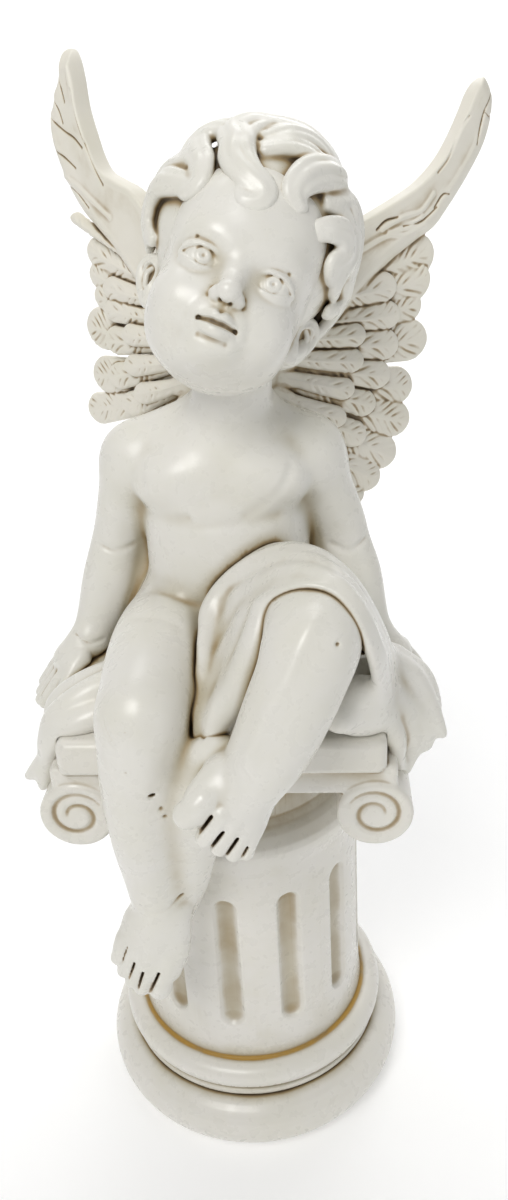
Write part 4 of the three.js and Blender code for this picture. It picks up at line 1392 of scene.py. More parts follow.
class Head:
    """A calm infant's head, in its own frame.

    The origin lies between the ears; x runs to the statue's left, -y forward and z up.
    """

    def sculpt(self) -> Clay:
        """Model the head.

        Returns:
            The finished clay.
        """
        clay = Clay((-52, -60, -52), (52, 60, 80), 0.55)
        self.add_skull(clay)
        clay.melt(2.2)
        for side in (-1, 1):
            self.add_eye(clay, Eye(), side)
            self.add_ear(clay, side)
        self.add_nose(clay)
        self.add_mouth(clay)
        return clay

    def add_skull(self, clay: Clay) -> None:
        """Build the cranium, the round cheeks and the chin.

        Args:
            clay: The head's clay.
        """
        clay.add(Blob((0, 8, 31), (39, 47, 44)))
        clay.add(Blob((0, -7, -2), (33.5, 36, 33)), 14)
        clay.add(Blob((0, -17, 31), (32.5, 26.5, 30)), 12)
        clay.add(Blob((0, 2, -14), (29, 32, 24)), 12)
        for side in (-1, 1):
            clay.add(Blob((17.5 * side, -25, -10), (15.5, 15.5, 15.5)), 9)
            clay.add(Blob((14.5 * side, -12, -18), (16.5, 18, 14.5)), 9)
        clay.add(Blob((0, -37, -15.5), (12.5, 8.5, 10)), 8)
        clay.add(Blob((0, -32, -25), (10.5, 10.5, 7.5)), 8)
        clay.add(Blob((0, -17, -28), (18, 16, 8.5)), 9)
        for side in (-1, 1):
            clay.carve(Blob((15.6 * side, -47.4, 9.5), (11.5, 8.0, 8.0), (0, 0, 12 * side)), 9)
            clay.roll([(7.5 * side, -38.0, 18.0, 2.4), (15 * side, -37.2, 21.0, 3.0),
                       (23 * side, -31, 19.5, 2.4)], 9)

    def add_eye(self, clay: Clay, eye: Eye, side: int) -> None:
        """Set an eyeball between two lids and engrave its iris.

        Args:
            clay: The head's clay.
            eye: Its proportions.
            side: 1 for the statue's left eye, -1 for its right.
        """
        middle = np.array([eye.at[0] * side, eye.at[1], eye.at[2]])
        reach = eye.radius + 4.0
        cut, x, y, z = clay.window(middle - reach, middle + reach)
        dx, dy, dz = x - middle[0], y - middle[1], z - middle[2]
        far = np.sqrt(dx * dx + dy * dy + dz * dz)
        slope = math.sin(math.radians(eye.slant)) * side
        field = soft_min(clay.field[cut], far - eye.radius, 0.8)
        for sign, degrees, thick in ((1, eye.upper, 1.5), (-1, eye.lower, 0.85)):
            edge = math.radians(degrees)
            bow = 0.022 * dx * dx
            plane = sign * (dz - slope * dx) * math.cos(edge) + dy * math.sin(edge) + bow * 0.6
            lid = np.maximum(far - (eye.radius + thick), -plane)
            lid = np.maximum(lid, dy + 2.0)
            field = soft_min(field, lid.astype(np.float32), 1.1)
        clay.field[cut] = field
        folds = []
        rims = []
        for degrees in np.linspace(-38, 38, 9):
            across = math.radians(degrees)
            bulge = math.cos(across)
            for store, up, out in ((folds, eye.upper + 27, 1.9), (rims, eye.upper + 3, 1.3)):
                height = math.radians(up * bulge ** 0.8 + eye.slant * math.sin(across))
                r = eye.radius + out
                store.append((middle[0] + side * r * math.sin(across) * math.cos(height),
                              middle[1] - r * math.cos(across) * math.cos(height),
                              middle[2] + r * math.sin(height)))
        clay.crease(folds, 1.2, 0.75, 3)
        clay.crease(rims, 0.9, -0.55, 3)
        gaze = unit((0.04 * side + 0.03, -1.0, 0.10))
        ring = []
        level = unit(np.cross(gaze, (0, 0, 1)))
        upright = np.cross(level, gaze)
        for step in range(25):
            angle = 2 * math.pi * step / 24
            spot = level * math.cos(angle) * eye.iris + upright * math.sin(angle) * eye.iris
            depth = math.sqrt(eye.radius ** 2 - eye.iris ** 2)
            ring.append(tuple(middle + gaze * depth + spot))
        clay.crease(ring, 0.62, 0.55, 1)
        pupil = middle + gaze * (eye.radius + 0.1)
        clay.carve(Blob(tuple(pupil), (1.7, 0.9, 1.7)), 0.4)

    def add_nose(self, clay: Clay) -> None:
        """Build a short snub nose.

        Args:
            clay: The head's clay.
        """
        clay.roll([(0, -37.5, 12, 4.0), (0, -40.5, 5, 4.2), (0, -45.0, -0.6, 4.6), (0, -46.8, -3.6, 4.7)],
                  4.5)
        clay.add(Blob((0, -47.2, -3.6), (5.2, 4.6, 4.4)), 2.5)
        for side in (-1, 1):
            clay.add(Blob((4.9 * side, -43.4, -5.4), (3.1, 4.2, 3.0)), 2.0)
            clay.carve(Blob((2.5 * side, -46.8, -8.4), (1.0, 1.6, 1.0), (0, 0, 14 * side)), 0.6)
            clay.crease([(7.6 * side, -41.8, -3.4), (8.3 * side, -41.2, -5.6), (7.6 * side, -42.0, -7.6)],
                        1.3, 0.5)

    def add_mouth(self, clay: Clay) -> None:
        """Build two soft lips, slightly parted.

        Args:
            clay: The head's clay.
        """
        upper = [(-8.0, -41.4, -17.4, 0.9), (-5.1, -44.2, -15.9, 1.9), (-2.2, -46.1, -14.9, 2.4),
                 (0, -46.4, -15.4, 2.2), (2.2, -46.1, -14.9, 2.4), (5.1, -44.2, -15.9, 1.9),
                 (8.0, -41.4, -17.4, 0.9)]
        lower = [(-6.8, -41.4, -18.8, 1.1), (-3.9, -43.8, -20.3, 2.5), (0, -45.0, -20.9, 3.0),
                 (3.9, -43.8, -20.3, 2.5), (6.8, -41.4, -18.8, 1.1)]
        clay.roll(upper, 1.8)
        clay.roll(lower, 2.0)
        parting = [(-8.2, -42.0, -17.6), (-4.4, -45.6, -17.7), (0, -47.2, -18.0), (4.4, -45.6, -17.7),
                   (8.2, -42.0, -17.6)]
        clay.crease(parting, 1.2, 1.7, 4)
        clay.drill([(-3.2, -45.4, -17.8, 0.4), (0, -46.4, -18.0, 0.8), (3.2, -45.4, -17.8, 0.4)], 0.8)
        clay.crease([(0, -46.2, -8.8), (0, -47.2, -12.6)], 1.5, 0.8)
        clay.crease([(-6.0, -41.5, -24.4), (0, -42.8, -25.2), (6.0, -41.5, -24.4)], 2.3, 1.1)
        for side in (-1, 1):
            clay.crease([(8.4 * side, -41.6, -16.6), (9.2 * side, -41.0, -18.0),
                         (9.0 * side, -40.8, -19.4)], 1.6, 0.9)
            clay.crease([(9.2 * side, -41.4, -7.4), (12.6 * side, -40.2, -12.4),
                         (13.4 * side, -39.2, -17.0)],
                        2.8, 0.6)

    def add_ear(self, clay: Clay, side: int) -> None:
        """Build one ear with its rim, hollow and lobe.

        Args:
            clay: The head's clay.
            side: 1 for the statue's left ear, -1 for its right.
        """
        base = np.array([35.0 * side, 4.0, 1.0])
        back = unit((0.72 * side, 0.69, -0.06))
        high = unit((0.16 * side, 0.08, 1.0))
        out = np.cross(back, high) * side

        def spot(u: float, v: float, w: float) -> np.ndarray:
            """Turn ear coordinates (back, up, outward) into head ones."""
            return base + back * u + high * v + out * w

        def path(rows: Sequence[tuple[float, float, float, float]]) -> list[Knot]:
            """Turn rows of back, up, outward and radius into knots."""
            return [(*spot(u, v, w), r) for u, v, w, r in rows]

        clay.roll(path([(0, -8, 0, 4.6), (2.5, 0, 0.2, 6.2), (3, 7, 0, 5.4)]), 2.5)
        clay.carve(Blob(tuple(spot(3.5, 1.5, 4.6)), (4.6, 4.6, 6.8)), 1.2)
        clay.roll(path([(-2.6, 1.0, 2.0, 1.5), (-3.8, 6.0, 1.9, 1.9), (-0.6, 11.0, 1.9, 2.1),
                        (5.0, 11.6, 2.2, 2.2),
                        (9.4, 7.4, 2.4, 2.2), (9.6, 1.0, 2.2, 2.1), (6.6, -5.4, 1.9, 2.1),
                        (2.6, -9.6, 1.6, 2.9),
                        (-0.8, -9.8, 1.2, 2.7), (-2.4, -6.4, 1.0, 1.8)]), 1.2)
        clay.roll(path([(2.0, 7.6, 1.6, 1.1), (5.8, 4.4, 1.8, 1.3), (5.6, -1.2, 1.6, 1.3),
                        (2.8, -4.8, 1.4, 1.3)]), 0.9)
        clay.carve(Blob(tuple(spot(1.4, 0.4, 2.6)), (2.4, 2.4, 3.6)), 1.2)
        clay.add(Blob(tuple(spot(-2.8, -1.6, 1.8)), (1.9, 2.0, 2.3)), 1.2)


# ------------------------------------------------------------------ wings

@dataclass(frozen=True)
class Feather:
    """One covert feather, laid flat in the wing.

    Attributes:
        root: Where it starts, outward and up from the wing's root.
        tip: Where it ends.
        width: Width near its rounded end.
        lift: Height of its layer.
        barb: Spacing of its slanting barbs.
    """

    root: tuple[float, float]
    tip: tuple[float, float]
    width: float
    lift: float = 0.0
    barb: float = 5.0


@dataclass(frozen=True)
class WingPlan:
    """The layout of one wing in its own plane: outward, up and towards the front.

    Attributes:
        name: The piece's name.
        side: 1 on the statue's left, -1 on its right.
        root: Where the wing joins the back.
        sweep: How far it swings backwards, in degrees.
        inner: The blade's edge nearest the head, from the root to the tip.
        outer: The blade's outer edge, from the tip back to the root.
        feathers: The coverts below the blade.
        cracks: Fine dark lines on the blade.
        veins: Raised lines on the blade.
    """

    name: str
    side: int
    root: Point
    sweep: float
    inner: tuple[tuple[float, float], ...]
    outer: tuple[tuple[float, float], ...]
    feathers: tuple[Feather, ...]
    cracks: tuple[tuple[tuple[float, float], ...], ...] = ()
    veins: tuple[tuple[tuple[float, float], ...], ...] = ()

    def place(self, points: np.ndarray) -> np.ndarray:
        """Bend and swing the flat wing into place on the statue.

        Args:
            points: Rows of outward, up and forward in millimetres.

        Returns:
            Rows of x, y and z.
        """
        out, up = points[:, 0], points[:, 1]
        forward, bow = points[:, 2], (out ** 2 + up ** 2) * 0.0007
        turn = math.radians(self.sweep)
        return np.stack([self.root[0] + self.side * (out * math.cos(turn) + (forward - bow) * math.sin(turn)),
                         self.root[1] + out * math.sin(turn) - (forward + bow) * math.cos(turn),
                         self.root[2] + up], axis=1)


LEFT_WING = WingPlan(
    "wing_left", 1, (26.0, 34.0, 462.0), 30.0,
    inner=((-6, 30), (16, 52), (34, 66), (52, 77), (70, 84), (86, 90), (102, 97), (116, 107), (126, 118),
           (134, 129), (140, 138), (146, 143)),
    outer=((152, 144), (156, 137), (156, 129), (153, 119), (148, 110), (140, 100), (131, 90), (122, 81),
           (113, 73), (98, 66), (76, 54), (52, 34), (24, 10), (-6, -4)),
    feathers=(
        Feather((34, 46), (113, 62), 25, 0.0), Feather((34, 36), (110, 48), 23, 0.6),
        Feather((32, 26), (104, 34), 20, 0.2), Feather((30, 14), (108, 14), 24, 0.8),
        Feather((26, 2), (98, -14), 23, 0.2), Feather((22, -8), (96, -34), 22, 0.8),
        Feather((18, -18), (87, -54), 22, 0.2), Feather((12, -26), (75, -67), 20, 0.8),
        Feather((6, -30), (64, -76), 17, 0.0),
        Feather((24, 42), (84, 46), 17, 4.0), Feather((24, 32), (86, 30), 16, 4.4),
        Feather((22, 22), (85, 13), 18, 4.0), Feather((20, 10), (79, -4), 17, 4.4),
        Feather((16, 0), (69, -20), 16, 4.0), Feather((12, -10), (62, -38), 16, 4.4),
        Feather((6, -18), (50, -52), 14, 4.0),
        Feather((10, 26), (60, 22), 14, 7.6), Feather((10, 16), (58, 8), 14, 8.0),
        Feather((8, 6), (52, -8), 13, 7.6), Feather((4, -4), (46, -24), 13, 8.0),
        Feather((0, -12), (38, -38), 12, 7.6),
    ),
    cracks=(((112, 101), (120, 108), (128, 120), (135, 127)),
            ((155, 138), (147, 130), (143, 121), (141, 113)),
            ((147, 128), (151, 126), (155, 127)), ((110, 84), (116, 90), (121, 90)),
            ((88, 76), (101, 78), (112, 84)),
            ((84, 81), (76, 80), (70, 76))),
    veins=(((74, 76), (88, 81), (100, 83), (109, 91)), ((78, 74), (92, 76), (101, 80)),
           ((58, 66), (76, 72), (90, 72), (104, 76))),
)

RIGHT_WING = WingPlan(
    "wing_right", -1, (-10.0, 34.0, 462.0), 42.0,
    inner=((-8, 34), (8, 66), (20, 84), (37, 100), (54, 106), (66, 110), (74, 118), (80, 128), (87, 141),
           (91, 154), (95, 163)),
    outer=((100, 168), (107, 168), (111, 163), (112, 156), (117, 150), (118, 145), (122, 139), (121, 126),
           (114, 113), (104, 100), (92, 89), (78, 80), (58, 66), (34, 44), (12, 18), (-8, 0)),
    feathers=(
        Feather((30, 54), (92, 70), 19, 0.4), Feather((30, 44), (92, 57), 18, 0.0),
        Feather((30, 34), (88, 45), 17, 0.6), Feather((26, 22), (100, 26), 25, 0.0),
        Feather((22, 8), (98, -4), 23, 0.6), Feather((18, -6), (110, -27), 20, 0.0),
        Feather((14, -16), (80, -46), 20, 0.6), Feather((8, -24), (62, -60), 18, 0.0),
        Feather((4, -28), (46, -72), 16, 0.4),
        Feather((24, 46), (74, 50), 14, 4.0), Feather((22, 36), (74, 38), 14, 4.4),
        Feather((20, 24), (76, 20), 17, 4.0), Feather((18, 12), (76, -2), 16, 4.4),
        Feather((14, 0), (66, -18), 15, 4.0), Feather((10, -10), (56, -34), 15, 4.4),
        Feather((10, 28), (54, 26), 13, 7.6), Feather((8, 16), (54, 8), 13, 8.0),
        Feather((6, 4), (48, -8), 13, 7.6), Feather((2, -6), (40, -24), 12, 8.0),
        Feather((40, 64), (102, 87), 7, 4.0),
    ),
    cracks=(((119, 139), (110, 134), (101, 130), (92, 127), (83, 122)),
            ((92, 150), (88, 138), (81, 126), (73, 114),
            (64, 104)), ((114, 121), (104, 118), (92, 112)), ((106, 104), (92, 100), (80, 92)),
            ((111, 162), (105, 154), (100, 144)), ((116, 148), (108, 142), (103, 134))),
    veins=(((95, 160), (92, 150), (87, 138), (80, 126)), ((108, 108), (92, 104), (76, 96), (60, 88))),
)


def outline_distance(corners: Sequence[tuple[float, float]], x: Grid, y: Grid, closed: bool) -> Grid:
    """Measure the flat distance to a line of corners.

    Args:
        corners: The line.
        x: Coordinates along the first axis, as a column.
        y: Coordinates along the second, as a row.
        closed: Whether the line is a closed outline; the distance is then negative inside.

    Returns:
        The distance on the grid.
    """
    nearest = np.full((x.shape[0], y.shape[1]), 1e6, dtype=np.float32)
    inside = np.zeros(nearest.shape, dtype=bool)
    line = list(corners)
    spans = zip(line, line[1:] + line[:1]) if closed else zip(line, line[1:])
    for (x0, y0), (x1, y1) in spans:
        ex, ey = x1 - x0, y1 - y0
        t = np.clip(((x - x0) * ex + (y - y0) * ey) / (ex * ex + ey * ey + 1e-9), 0, 1)
        nearest = np.minimum(nearest, (x - x0 - t * ex) ** 2 + (y - y0 - t * ey) ** 2)
        crosses = (y0 > y) != (y1 > y)
        inside ^= crosses & (x < ex * (y - y0) / (ey if abs(ey) > 1e-9 else 1e-9) + x0)
    distance = np.sqrt(nearest)
    return np.where(inside, -distance, distance) if closed else distance


class Wing:
    """One wing: a bevelled blade over layered coverts."""

    def __init__(self, plan: WingPlan) -> None:
        """Keep the layout.

        Args:
            plan: The wing's layout.
        """
        self.plan = plan

    def sculpt(self) -> Clay:
        """Model the wing flat.

        Returns:
            The finished clay.
        """
        clay = Clay((-18, -88, -9), (162, 174, 19), 0.62)
        for feather in self.plan.feathers:
            self.add_feather(clay, feather)
        self.add_blade(clay)
        clay.add(Blob((-2, 4, 1), (15, 38, 8)), 6)
        return clay

    def add_feather(self, clay: Clay, feather: Feather) -> None:
        """Lay one covert.

        Args:
            clay: The wing's clay.
            feather: Its layout.
        """
        root, tip = np.array(feather.root), np.array(feather.tip)
        wide = feather.width / 2
        length = float(np.linalg.norm(tip - root))
        along = (tip - root) / length
        low, high = np.minimum(root, tip) - wide - 3, np.maximum(root, tip) + wide + 3
        cut, x, y, z = clay.window(np.array([*low, -9]), np.array([*high, 19]))
        x, y = x[:, :, 0], y[:, :, 0]
        u = (x - root[0]) * along[0] + (y - root[1]) * along[1]
        v = -(x - root[0]) * along[1] + (y - root[1]) * along[0]
        v = v + 0.05 * feather.width * np.sin(np.clip(u / length, 0, 1) * math.pi)
        straight = length - wide
        share = np.clip(u / straight, 0.0, 1.0)
        half = wide * (0.55 + 0.45 * share)
        flat = np.hypot(u - share * straight, v) - half
        across = np.clip(v / half, -1.0, 1.0)
        fade = np.clip(u / 14, 0, 1) * np.clip((length - u) / 7.0, 0.25, 1)
        seed = root[0] * 1.7 + root[1] * 2.3
        slant = u * 0.75 - 1.15 * np.abs(v) + 1.3 * np.sin(0.21 * u + seed)
        barbs = np.cos(slant * 2 * math.pi / feather.barb)
        uneven = 0.55 + 0.45 * np.sin(u * 0.31 + across * 2.6 + seed)
        middle = feather.lift + 0.030 * np.clip(u, 0, length) - 2.2 * across ** 2
        middle = middle + 0.42 * fade * uneven * barbs * np.clip(4.0 * np.abs(across), 0, 1)
        middle = middle + 1.0 * np.exp(-(across / 0.13) ** 2) * np.clip(1.1 - u / length, 0, 1)
        thick = np.abs(z - middle[:, :, None]) - 2.1
        body = -soft_min(-np.broadcast_to(flat[:, :, None], thick.shape), -thick, 2.0)
        clay.field[cut] = soft_min(clay.field[cut], (body * 0.85).astype(np.float32), 0.35)

    def add_blade(self, clay: Clay) -> None:
        """Build the long smooth blade with its bevelled outer edge.

        Args:
            clay: The wing's clay.
        """
        plan = self.plan
        edge = [tuple(p) for p in smooth_route((*plan.inner, *plan.outer), 5)]
        outer = [tuple(p) for p in smooth_route(plan.outer, 5)]
        low, high = np.min(edge, axis=0) - 4, np.max(edge, axis=0) + 4
        cut, x, y, z = clay.window(np.array([*low, -9]), np.array([*high, 19]))
        flat = outline_distance(edge, x[:, :, 0], y[:, :, 0], True)
        rim = outline_distance(outer, x[:, :, 0], y[:, :, 0], False)
        bevel = np.clip(1.0 - rim / 9.0, 0.0, 1.0) ** 1.5
        dish = 1.4 * (1.0 - np.exp(-(np.minimum(flat, 0.0) / 9.0) ** 2))
        top = 9.6 - 6.4 * bevel - dish
        for lines, height, width in ((plan.veins, 0.9, 1.4), (plan.cracks, -1.0, 0.55)):
            for line in lines:
                route = [tuple(p) for p in smooth_route(line, 5)]
                aside = outline_distance(route, x[:, :, 0], y[:, :, 0], False)
                top = top + height * np.exp(-(aside / width) ** 2)
        front = z - top[:, :, None]
        back = -1.0 - z
        body = np.maximum(front, back)
        body = -soft_min(-body, -np.broadcast_to(flat[:, :, None], body.shape), 1.8)
        clay.field[cut] = soft_min(clay.field[cut], body.astype(np.float32), 0.8)


# ------------------------------------------------------------------ finishes

GILT = (0.52, 0.31, 0.06, 1.0)


@dataclass(frozen=True)
class Finish:
    """A painted and antiqued surface, with shade painted into its hollows.

    Attributes:
        name: The material's name.
        slot: The record's material slot; not used.
        ivory: Colour of clean paint.
        shade: Painted shade, the colour laid into wide hollows where shade falls.
        amber: Colour where antiquing wash gathers thinly, also standing in for shade in creases.
        umber: Colour where the wash gathers thickly, dark enough to stand in for the shadow deep in crevices.
        wash: How readily the wash and the shade painted with it show; 0 keeps them to the deepest crevices.
        roughness: Roughness of clean paint.
        grain: Size of the bump in millimetres.
        gilt: Height of a worn gold line in millimetres; 0 paints none.
    """

    name: str
    slot: str = "painted_cast_stone"
    ivory: tuple[float, float, float] = (0.80, 0.785, 0.735)
    shade: tuple[float, float, float] = (0.50, 0.45, 0.33)
    amber: tuple[float, float, float] = (0.33, 0.22, 0.085)
    umber: tuple[float, float, float] = (0.05, 0.03, 0.012)
    wash: float = 0.42
    roughness: float = 0.29
    grain: float = 0.02
    gilt: float = 0.0


class Part(Enum):
    """The statue's pieces and the finish of each."""

    FIGURE = Finish("ivory_skin")
    HAIR = Finish("ivory_hair", wash=0.52)
    CLOTH = Finish("ivory_cloth", wash=0.46)
    COLUMN = Finish("ivory_column", ivory=(0.79, 0.77, 0.72), wash=0.46, gilt=61.5)
    WINGS = Finish("antiqued_feathers", "feather_finish", ivory=(0.82, 0.79, 0.71),
                   shade=(0.50, 0.44, 0.32), wash=0.68, roughness=0.40)


class Nodes:
    """A short way to build a shader's node tree."""

    def __init__(self, material: bpy.types.Material) -> None:
        """Clear the material's tree.

        Args:
            material: The material whose nodes are made.
        """
        material.use_nodes = True
        self.tree = material.node_tree
        self.tree.nodes.clear()

    def add(self, kind: str, inputs: dict[str | int, object] | None = None,
            **settings: object) -> bpy.types.Node:
        """Add a node.

        Args:
            kind: The node's type name.
            inputs: Plain values or output sockets by input name or number.
            **settings: Attributes set on the node.

        Returns:
            The new node.
        """
        node = self.tree.nodes.new(kind)
        for key, value in settings.items():
            setattr(node, key, value)
        for key, value in (inputs or {}).items():
            if isinstance(value, bpy.types.NodeSocket):
                self.tree.links.new(value, node.inputs[key])
            else:
                node.inputs[key].default_value = value
        return node

    def reading(self, name: str) -> bpy.types.NodeSocket:
        """Read a vertex attribute.

        Args:
            name: The attribute's name.

        Returns:
            Its value.
        """
        return self.add("ShaderNodeAttribute", attribute_type="GEOMETRY",
                        attribute_name=name).outputs["Fac"]

    def ramp(self, value: bpy.types.NodeSocket, low: float, high: float) -> bpy.types.NodeSocket:
        """Stretch a value smoothly from 0 at low to 1 at high.

        Args:
            value: The value.
            low: Where it reaches 0.
            high: Where it reaches 1.

        Returns:
            The stretched value.
        """
        node = self.add("ShaderNodeMapRange", {"Value": value, "From Min": low, "From Max": high},
                        interpolation_type="SMOOTHSTEP")
        return node.outputs["Result"]

    def maths(self, kind: str, a: object, b: object) -> bpy.types.NodeSocket:
        """Combine two numbers.

        Args:
            kind: The operation.
            a: First number or socket.
            b: Second number or socket.

        Returns:
            The result.
        """
        return self.add("ShaderNodeMath", {0: a, 1: b}, operation=kind).outputs[0]

    def blend(self, share: object, a: object, b: object) -> bpy.types.NodeSocket:
        """Mix two colours.

        Args:
            share: How much of the second.
            a: First colour or socket.
            b: Second colour or socket.

        Returns:
            The mixed colour.
        """
        node = self.add("ShaderNodeMix", data_type="RGBA")
        for key, value in (("Factor", share), ("A", a), ("B", b)):
            socket = next(s for s in node.inputs if s.name == key and (key == "Factor" or s.type == "RGBA"))
            if isinstance(value, bpy.types.NodeSocket):
                self.tree.links.new(value, socket)
            else:
                socket.default_value = value
        return next(s for s in node.outputs if s.type == "RGBA")


def painted(finish: Finish) -> bpy.types.Material:
    """Make the satin paint with antiquing wash gathered in crevices and shade painted into wide hollows.

    Args:
        finish: Colours and sizes.

    Returns:
        The material.
    """
    material = bpy.data.materials.new(finish.name)
    nodes = Nodes(material)
    place = nodes.add("ShaderNodeTexCoord").outputs["Object"]
    cloud = nodes.add("ShaderNodeTexNoise", {"Vector": place, "Scale": 28.0, "Detail": 4.0,
                                             "Roughness": 0.6})
    mottle = nodes.add("ShaderNodeTexNoise", {"Vector": place, "Scale": 140.0, "Detail": 3.0})
    grain = nodes.add("ShaderNodeTexNoise", {"Vector": place, "Scale": 900.0, "Detail": 2.0})
    crevice, hollow = nodes.reading("crevice"), nodes.reading("hollow")
    patchy = nodes.maths("MULTIPLY", nodes.maths("SUBTRACT", cloud.outputs["Fac"], 0.5), 0.35)
    gathered = nodes.maths("ADD", crevice, patchy)
    # Painted shade: the wide-hollow reading darkens the paint towards the shade colour where shade falls.
    sunk = nodes.maths("ADD", hollow, nodes.maths("MULTIPLY", patchy, 0.6))
    tint = nodes.ramp(sunk, -0.04, 0.32)
    # Antiquing wash in crevices: the statue's own brown wash, laid heavy and dark enough that it also stands
    # in for the shade and shadow deep in creases.
    thin_wash_and_shade = nodes.ramp(gathered, 0.19 - 0.3 * finish.wash, 0.46 - 0.4 * finish.wash)
    thick_wash_and_shade = nodes.ramp(gathered, 0.36 - 0.4 * finish.wash, 0.68 - 0.4 * finish.wash)
    tone = nodes.blend(nodes.ramp(cloud.outputs["Fac"], 0.3, 0.75), (*finish.ivory, 1),
                       (*(0.965 * c for c in finish.ivory[:2]), 0.93 * finish.ivory[2], 1))
    # Painted shade in the hollows, mixed over the clean paint.
    tone = nodes.blend(nodes.maths("MULTIPLY", tint, 0.9), tone, (*finish.shade, 1))
    # Wash over the paint: amber thinly, near-black umber in the deepest crevices, partly antiquing and partly
    # painted shadow.
    tone = nodes.blend(nodes.maths("MULTIPLY", thin_wash_and_shade, 0.8), tone, (*finish.amber, 1))
    tone = nodes.blend(nodes.maths("MULTIPLY", thick_wash_and_shade, 0.92), tone, (*finish.umber, 1))
    if finish.gilt:
        height = nodes.add("ShaderNodeSeparateXYZ", {0: place}).outputs["Z"]
        above = nodes.maths("ABSOLUTE", nodes.maths("SUBTRACT", height, finish.gilt * MM), 0.0)
        worn = nodes.ramp(cloud.outputs["Fac"], 0.32, 0.55)
        line = nodes.maths("MULTIPLY", nodes.ramp(above, 2.2 * MM, 1.0 * MM), worn)
        line = nodes.maths("MULTIPLY", nodes.ramp(crevice, 0.05, 0.25), line)
        tone = nodes.blend(nodes.maths("MULTIPLY", line, 0.85), tone, GILT)
    rough = nodes.add("ShaderNodeMapRange", {"Value": mottle.outputs["Fac"], "From Min": 0.3,
                                             "From Max": 0.7,
                                             "To Min": finish.roughness - 0.05,
                                             "To Max": finish.roughness + 0.06})
    rough = nodes.maths("ADD", rough.outputs["Result"], nodes.maths("MULTIPLY", thin_wash_and_shade, 0.25))
    lumps = nodes.maths("ADD", nodes.maths("MULTIPLY", mottle.outputs["Fac"], 3.0), grain.outputs["Fac"])
    bump = nodes.add("ShaderNodeBump", {"Height": lumps, "Distance": finish.grain * MM, "Strength": 0.6})
    surface = nodes.add("ShaderNodeBsdfPrincipled", {"Base Color": tone, "Roughness": rough,
                                                    "Normal": bump.outputs["Normal"], "IOR": 1.48})
    nodes.add("ShaderNodeOutputMaterial", {"Surface": surface.outputs["BSDF"]})
    return material


def floor_material() -> bpy.types.Material:
    """Make the pale floor.

    Returns:
        The material.
    """
    material = bpy.data.materials.new("pale_floor")
    nodes = Nodes(material)
    surface = nodes.add("ShaderNodeBsdfPrincipled", {"Base Color": (0.80, 0.80, 0.80, 1), "Roughness": 0.9,
                                                    "Specular IOR Level": 0.1, "Emission Strength": 0.28,
                                                    "Emission Color": (1, 1, 1, 1)})
    nodes.add("ShaderNodeOutputMaterial", {"Surface": surface.outputs["BSDF"]})
    return material


# ------------------------------------------------------------------ studio

@dataclass(frozen=True)
class View:
    """The camera, in millimetres and degrees.

    Attributes:
        at: Where the camera stands.
        down: How far it looks below level.
        aside: How far it turns from looking along +Y, towards +X.
        roll: How far its own top leans, clockwise from behind.
        lens: Focal length for a 36 mm tall picture.
    """

    at: Point = (55.05, -492.42, 600.23)
    down: float = 26.94
    aside: float = -4.56
    roll: float = -3.30
    lens: float = 29.25


def add_camera(view: View) -> None:
    """Place the camera and make it the scene's.

    Args:
        view: Where it stands and how it looks.
    """
    down, aside, roll = (math.radians(a) for a in (view.down, view.aside, view.roll))
    ahead = np.array([math.sin(aside) * math.cos(down), math.cos(aside) * math.cos(down), -math.sin(down)])
    level = np.array([math.cos(aside), -math.sin(aside), 0.0])
    upright = np.cross(level, ahead)
    right = math.cos(roll) * level + math.sin(roll) * upright
    top = -math.sin(roll) * level + math.cos(roll) * upright
    data = bpy.data.cameras.new("camera")
    data.sensor_fit = "VERTICAL"
    data.sensor_height = 36.0
    data.lens = view.lens
    data.clip_start, data.clip_end = 0.02, 20.0
    camera = bpy.data.objects.new("camera", data)
    columns = np.eye(4)
    columns[:3, 0], columns[:3, 1], columns[:3, 2] = right, top, -ahead
    columns[:3, 3] = np.array(view.at) * MM
    camera.matrix_world = Matrix(columns.tolist())
    bpy.context.scene.collection.objects.link(camera)
    bpy.context.scene.camera = camera


@dataclass(frozen=True)
class Lamp:
    """A soft square light.

    Attributes:
        name: Its name.
        at: Where it hangs, in metres.
        aim: What it points at, in metres.
        size: Edge length in metres.
        watts: Power.
        tint: Colour.
    """

    name: str
    at: Point
    aim: Point
    size: float
    watts: float
    tint: tuple[float, float, float] = (1.0, 1.0, 1.0)


LAMPS = (
    Lamp("key", (-0.40, -1.15, 1.65), (0.0, 0.0, 0.38), 0.75, 16.0, (1.0, 0.99, 0.97)),
    Lamp("fill", (1.2, -0.9, 0.9), (0.0, 0.0, 0.3), 0.9, 1.5, (0.95, 0.975, 1.0)),
    Lamp("back", (0.4, 1.4, 1.4), (0.0, 0.0, 0.4), 1.0, 3.5),
    Lamp("sweep", (0.0, 0.9, 2.6), (0.0, 2.7, 1.2), 1.5, 42.0),
)


def add_lamp(lamp: Lamp) -> None:
    """Hang one lamp.

    Args:
        lamp: Its place, size and power.
    """
    data = bpy.data.lights.new(lamp.name, "AREA")
    data.shape = "SQUARE"
    data.size, data.energy, data.color = lamp.size, lamp.watts, lamp.tint
    light = bpy.data.objects.new(lamp.name, data)
    light.location = lamp.at
    ahead = Vector(lamp.aim) - Vector(lamp.at)
    light.rotation_euler = ahead.to_track_quat("-Z", "Y").to_euler()
    bpy.context.scene.collection.objects.link(light)


def add_studio() -> None:
    """Add the floor, the lamps and the pale surroundings."""
    bpy.ops.object.select_all(action="DESELECT")
    floor = add_backdrop()
    floor.data.materials.append(floor_material())
    for lamp in LAMPS:
        add_lamp(lamp)
    add_surroundings()
    bpy.context.scene.view_settings.view_transform = "Standard"


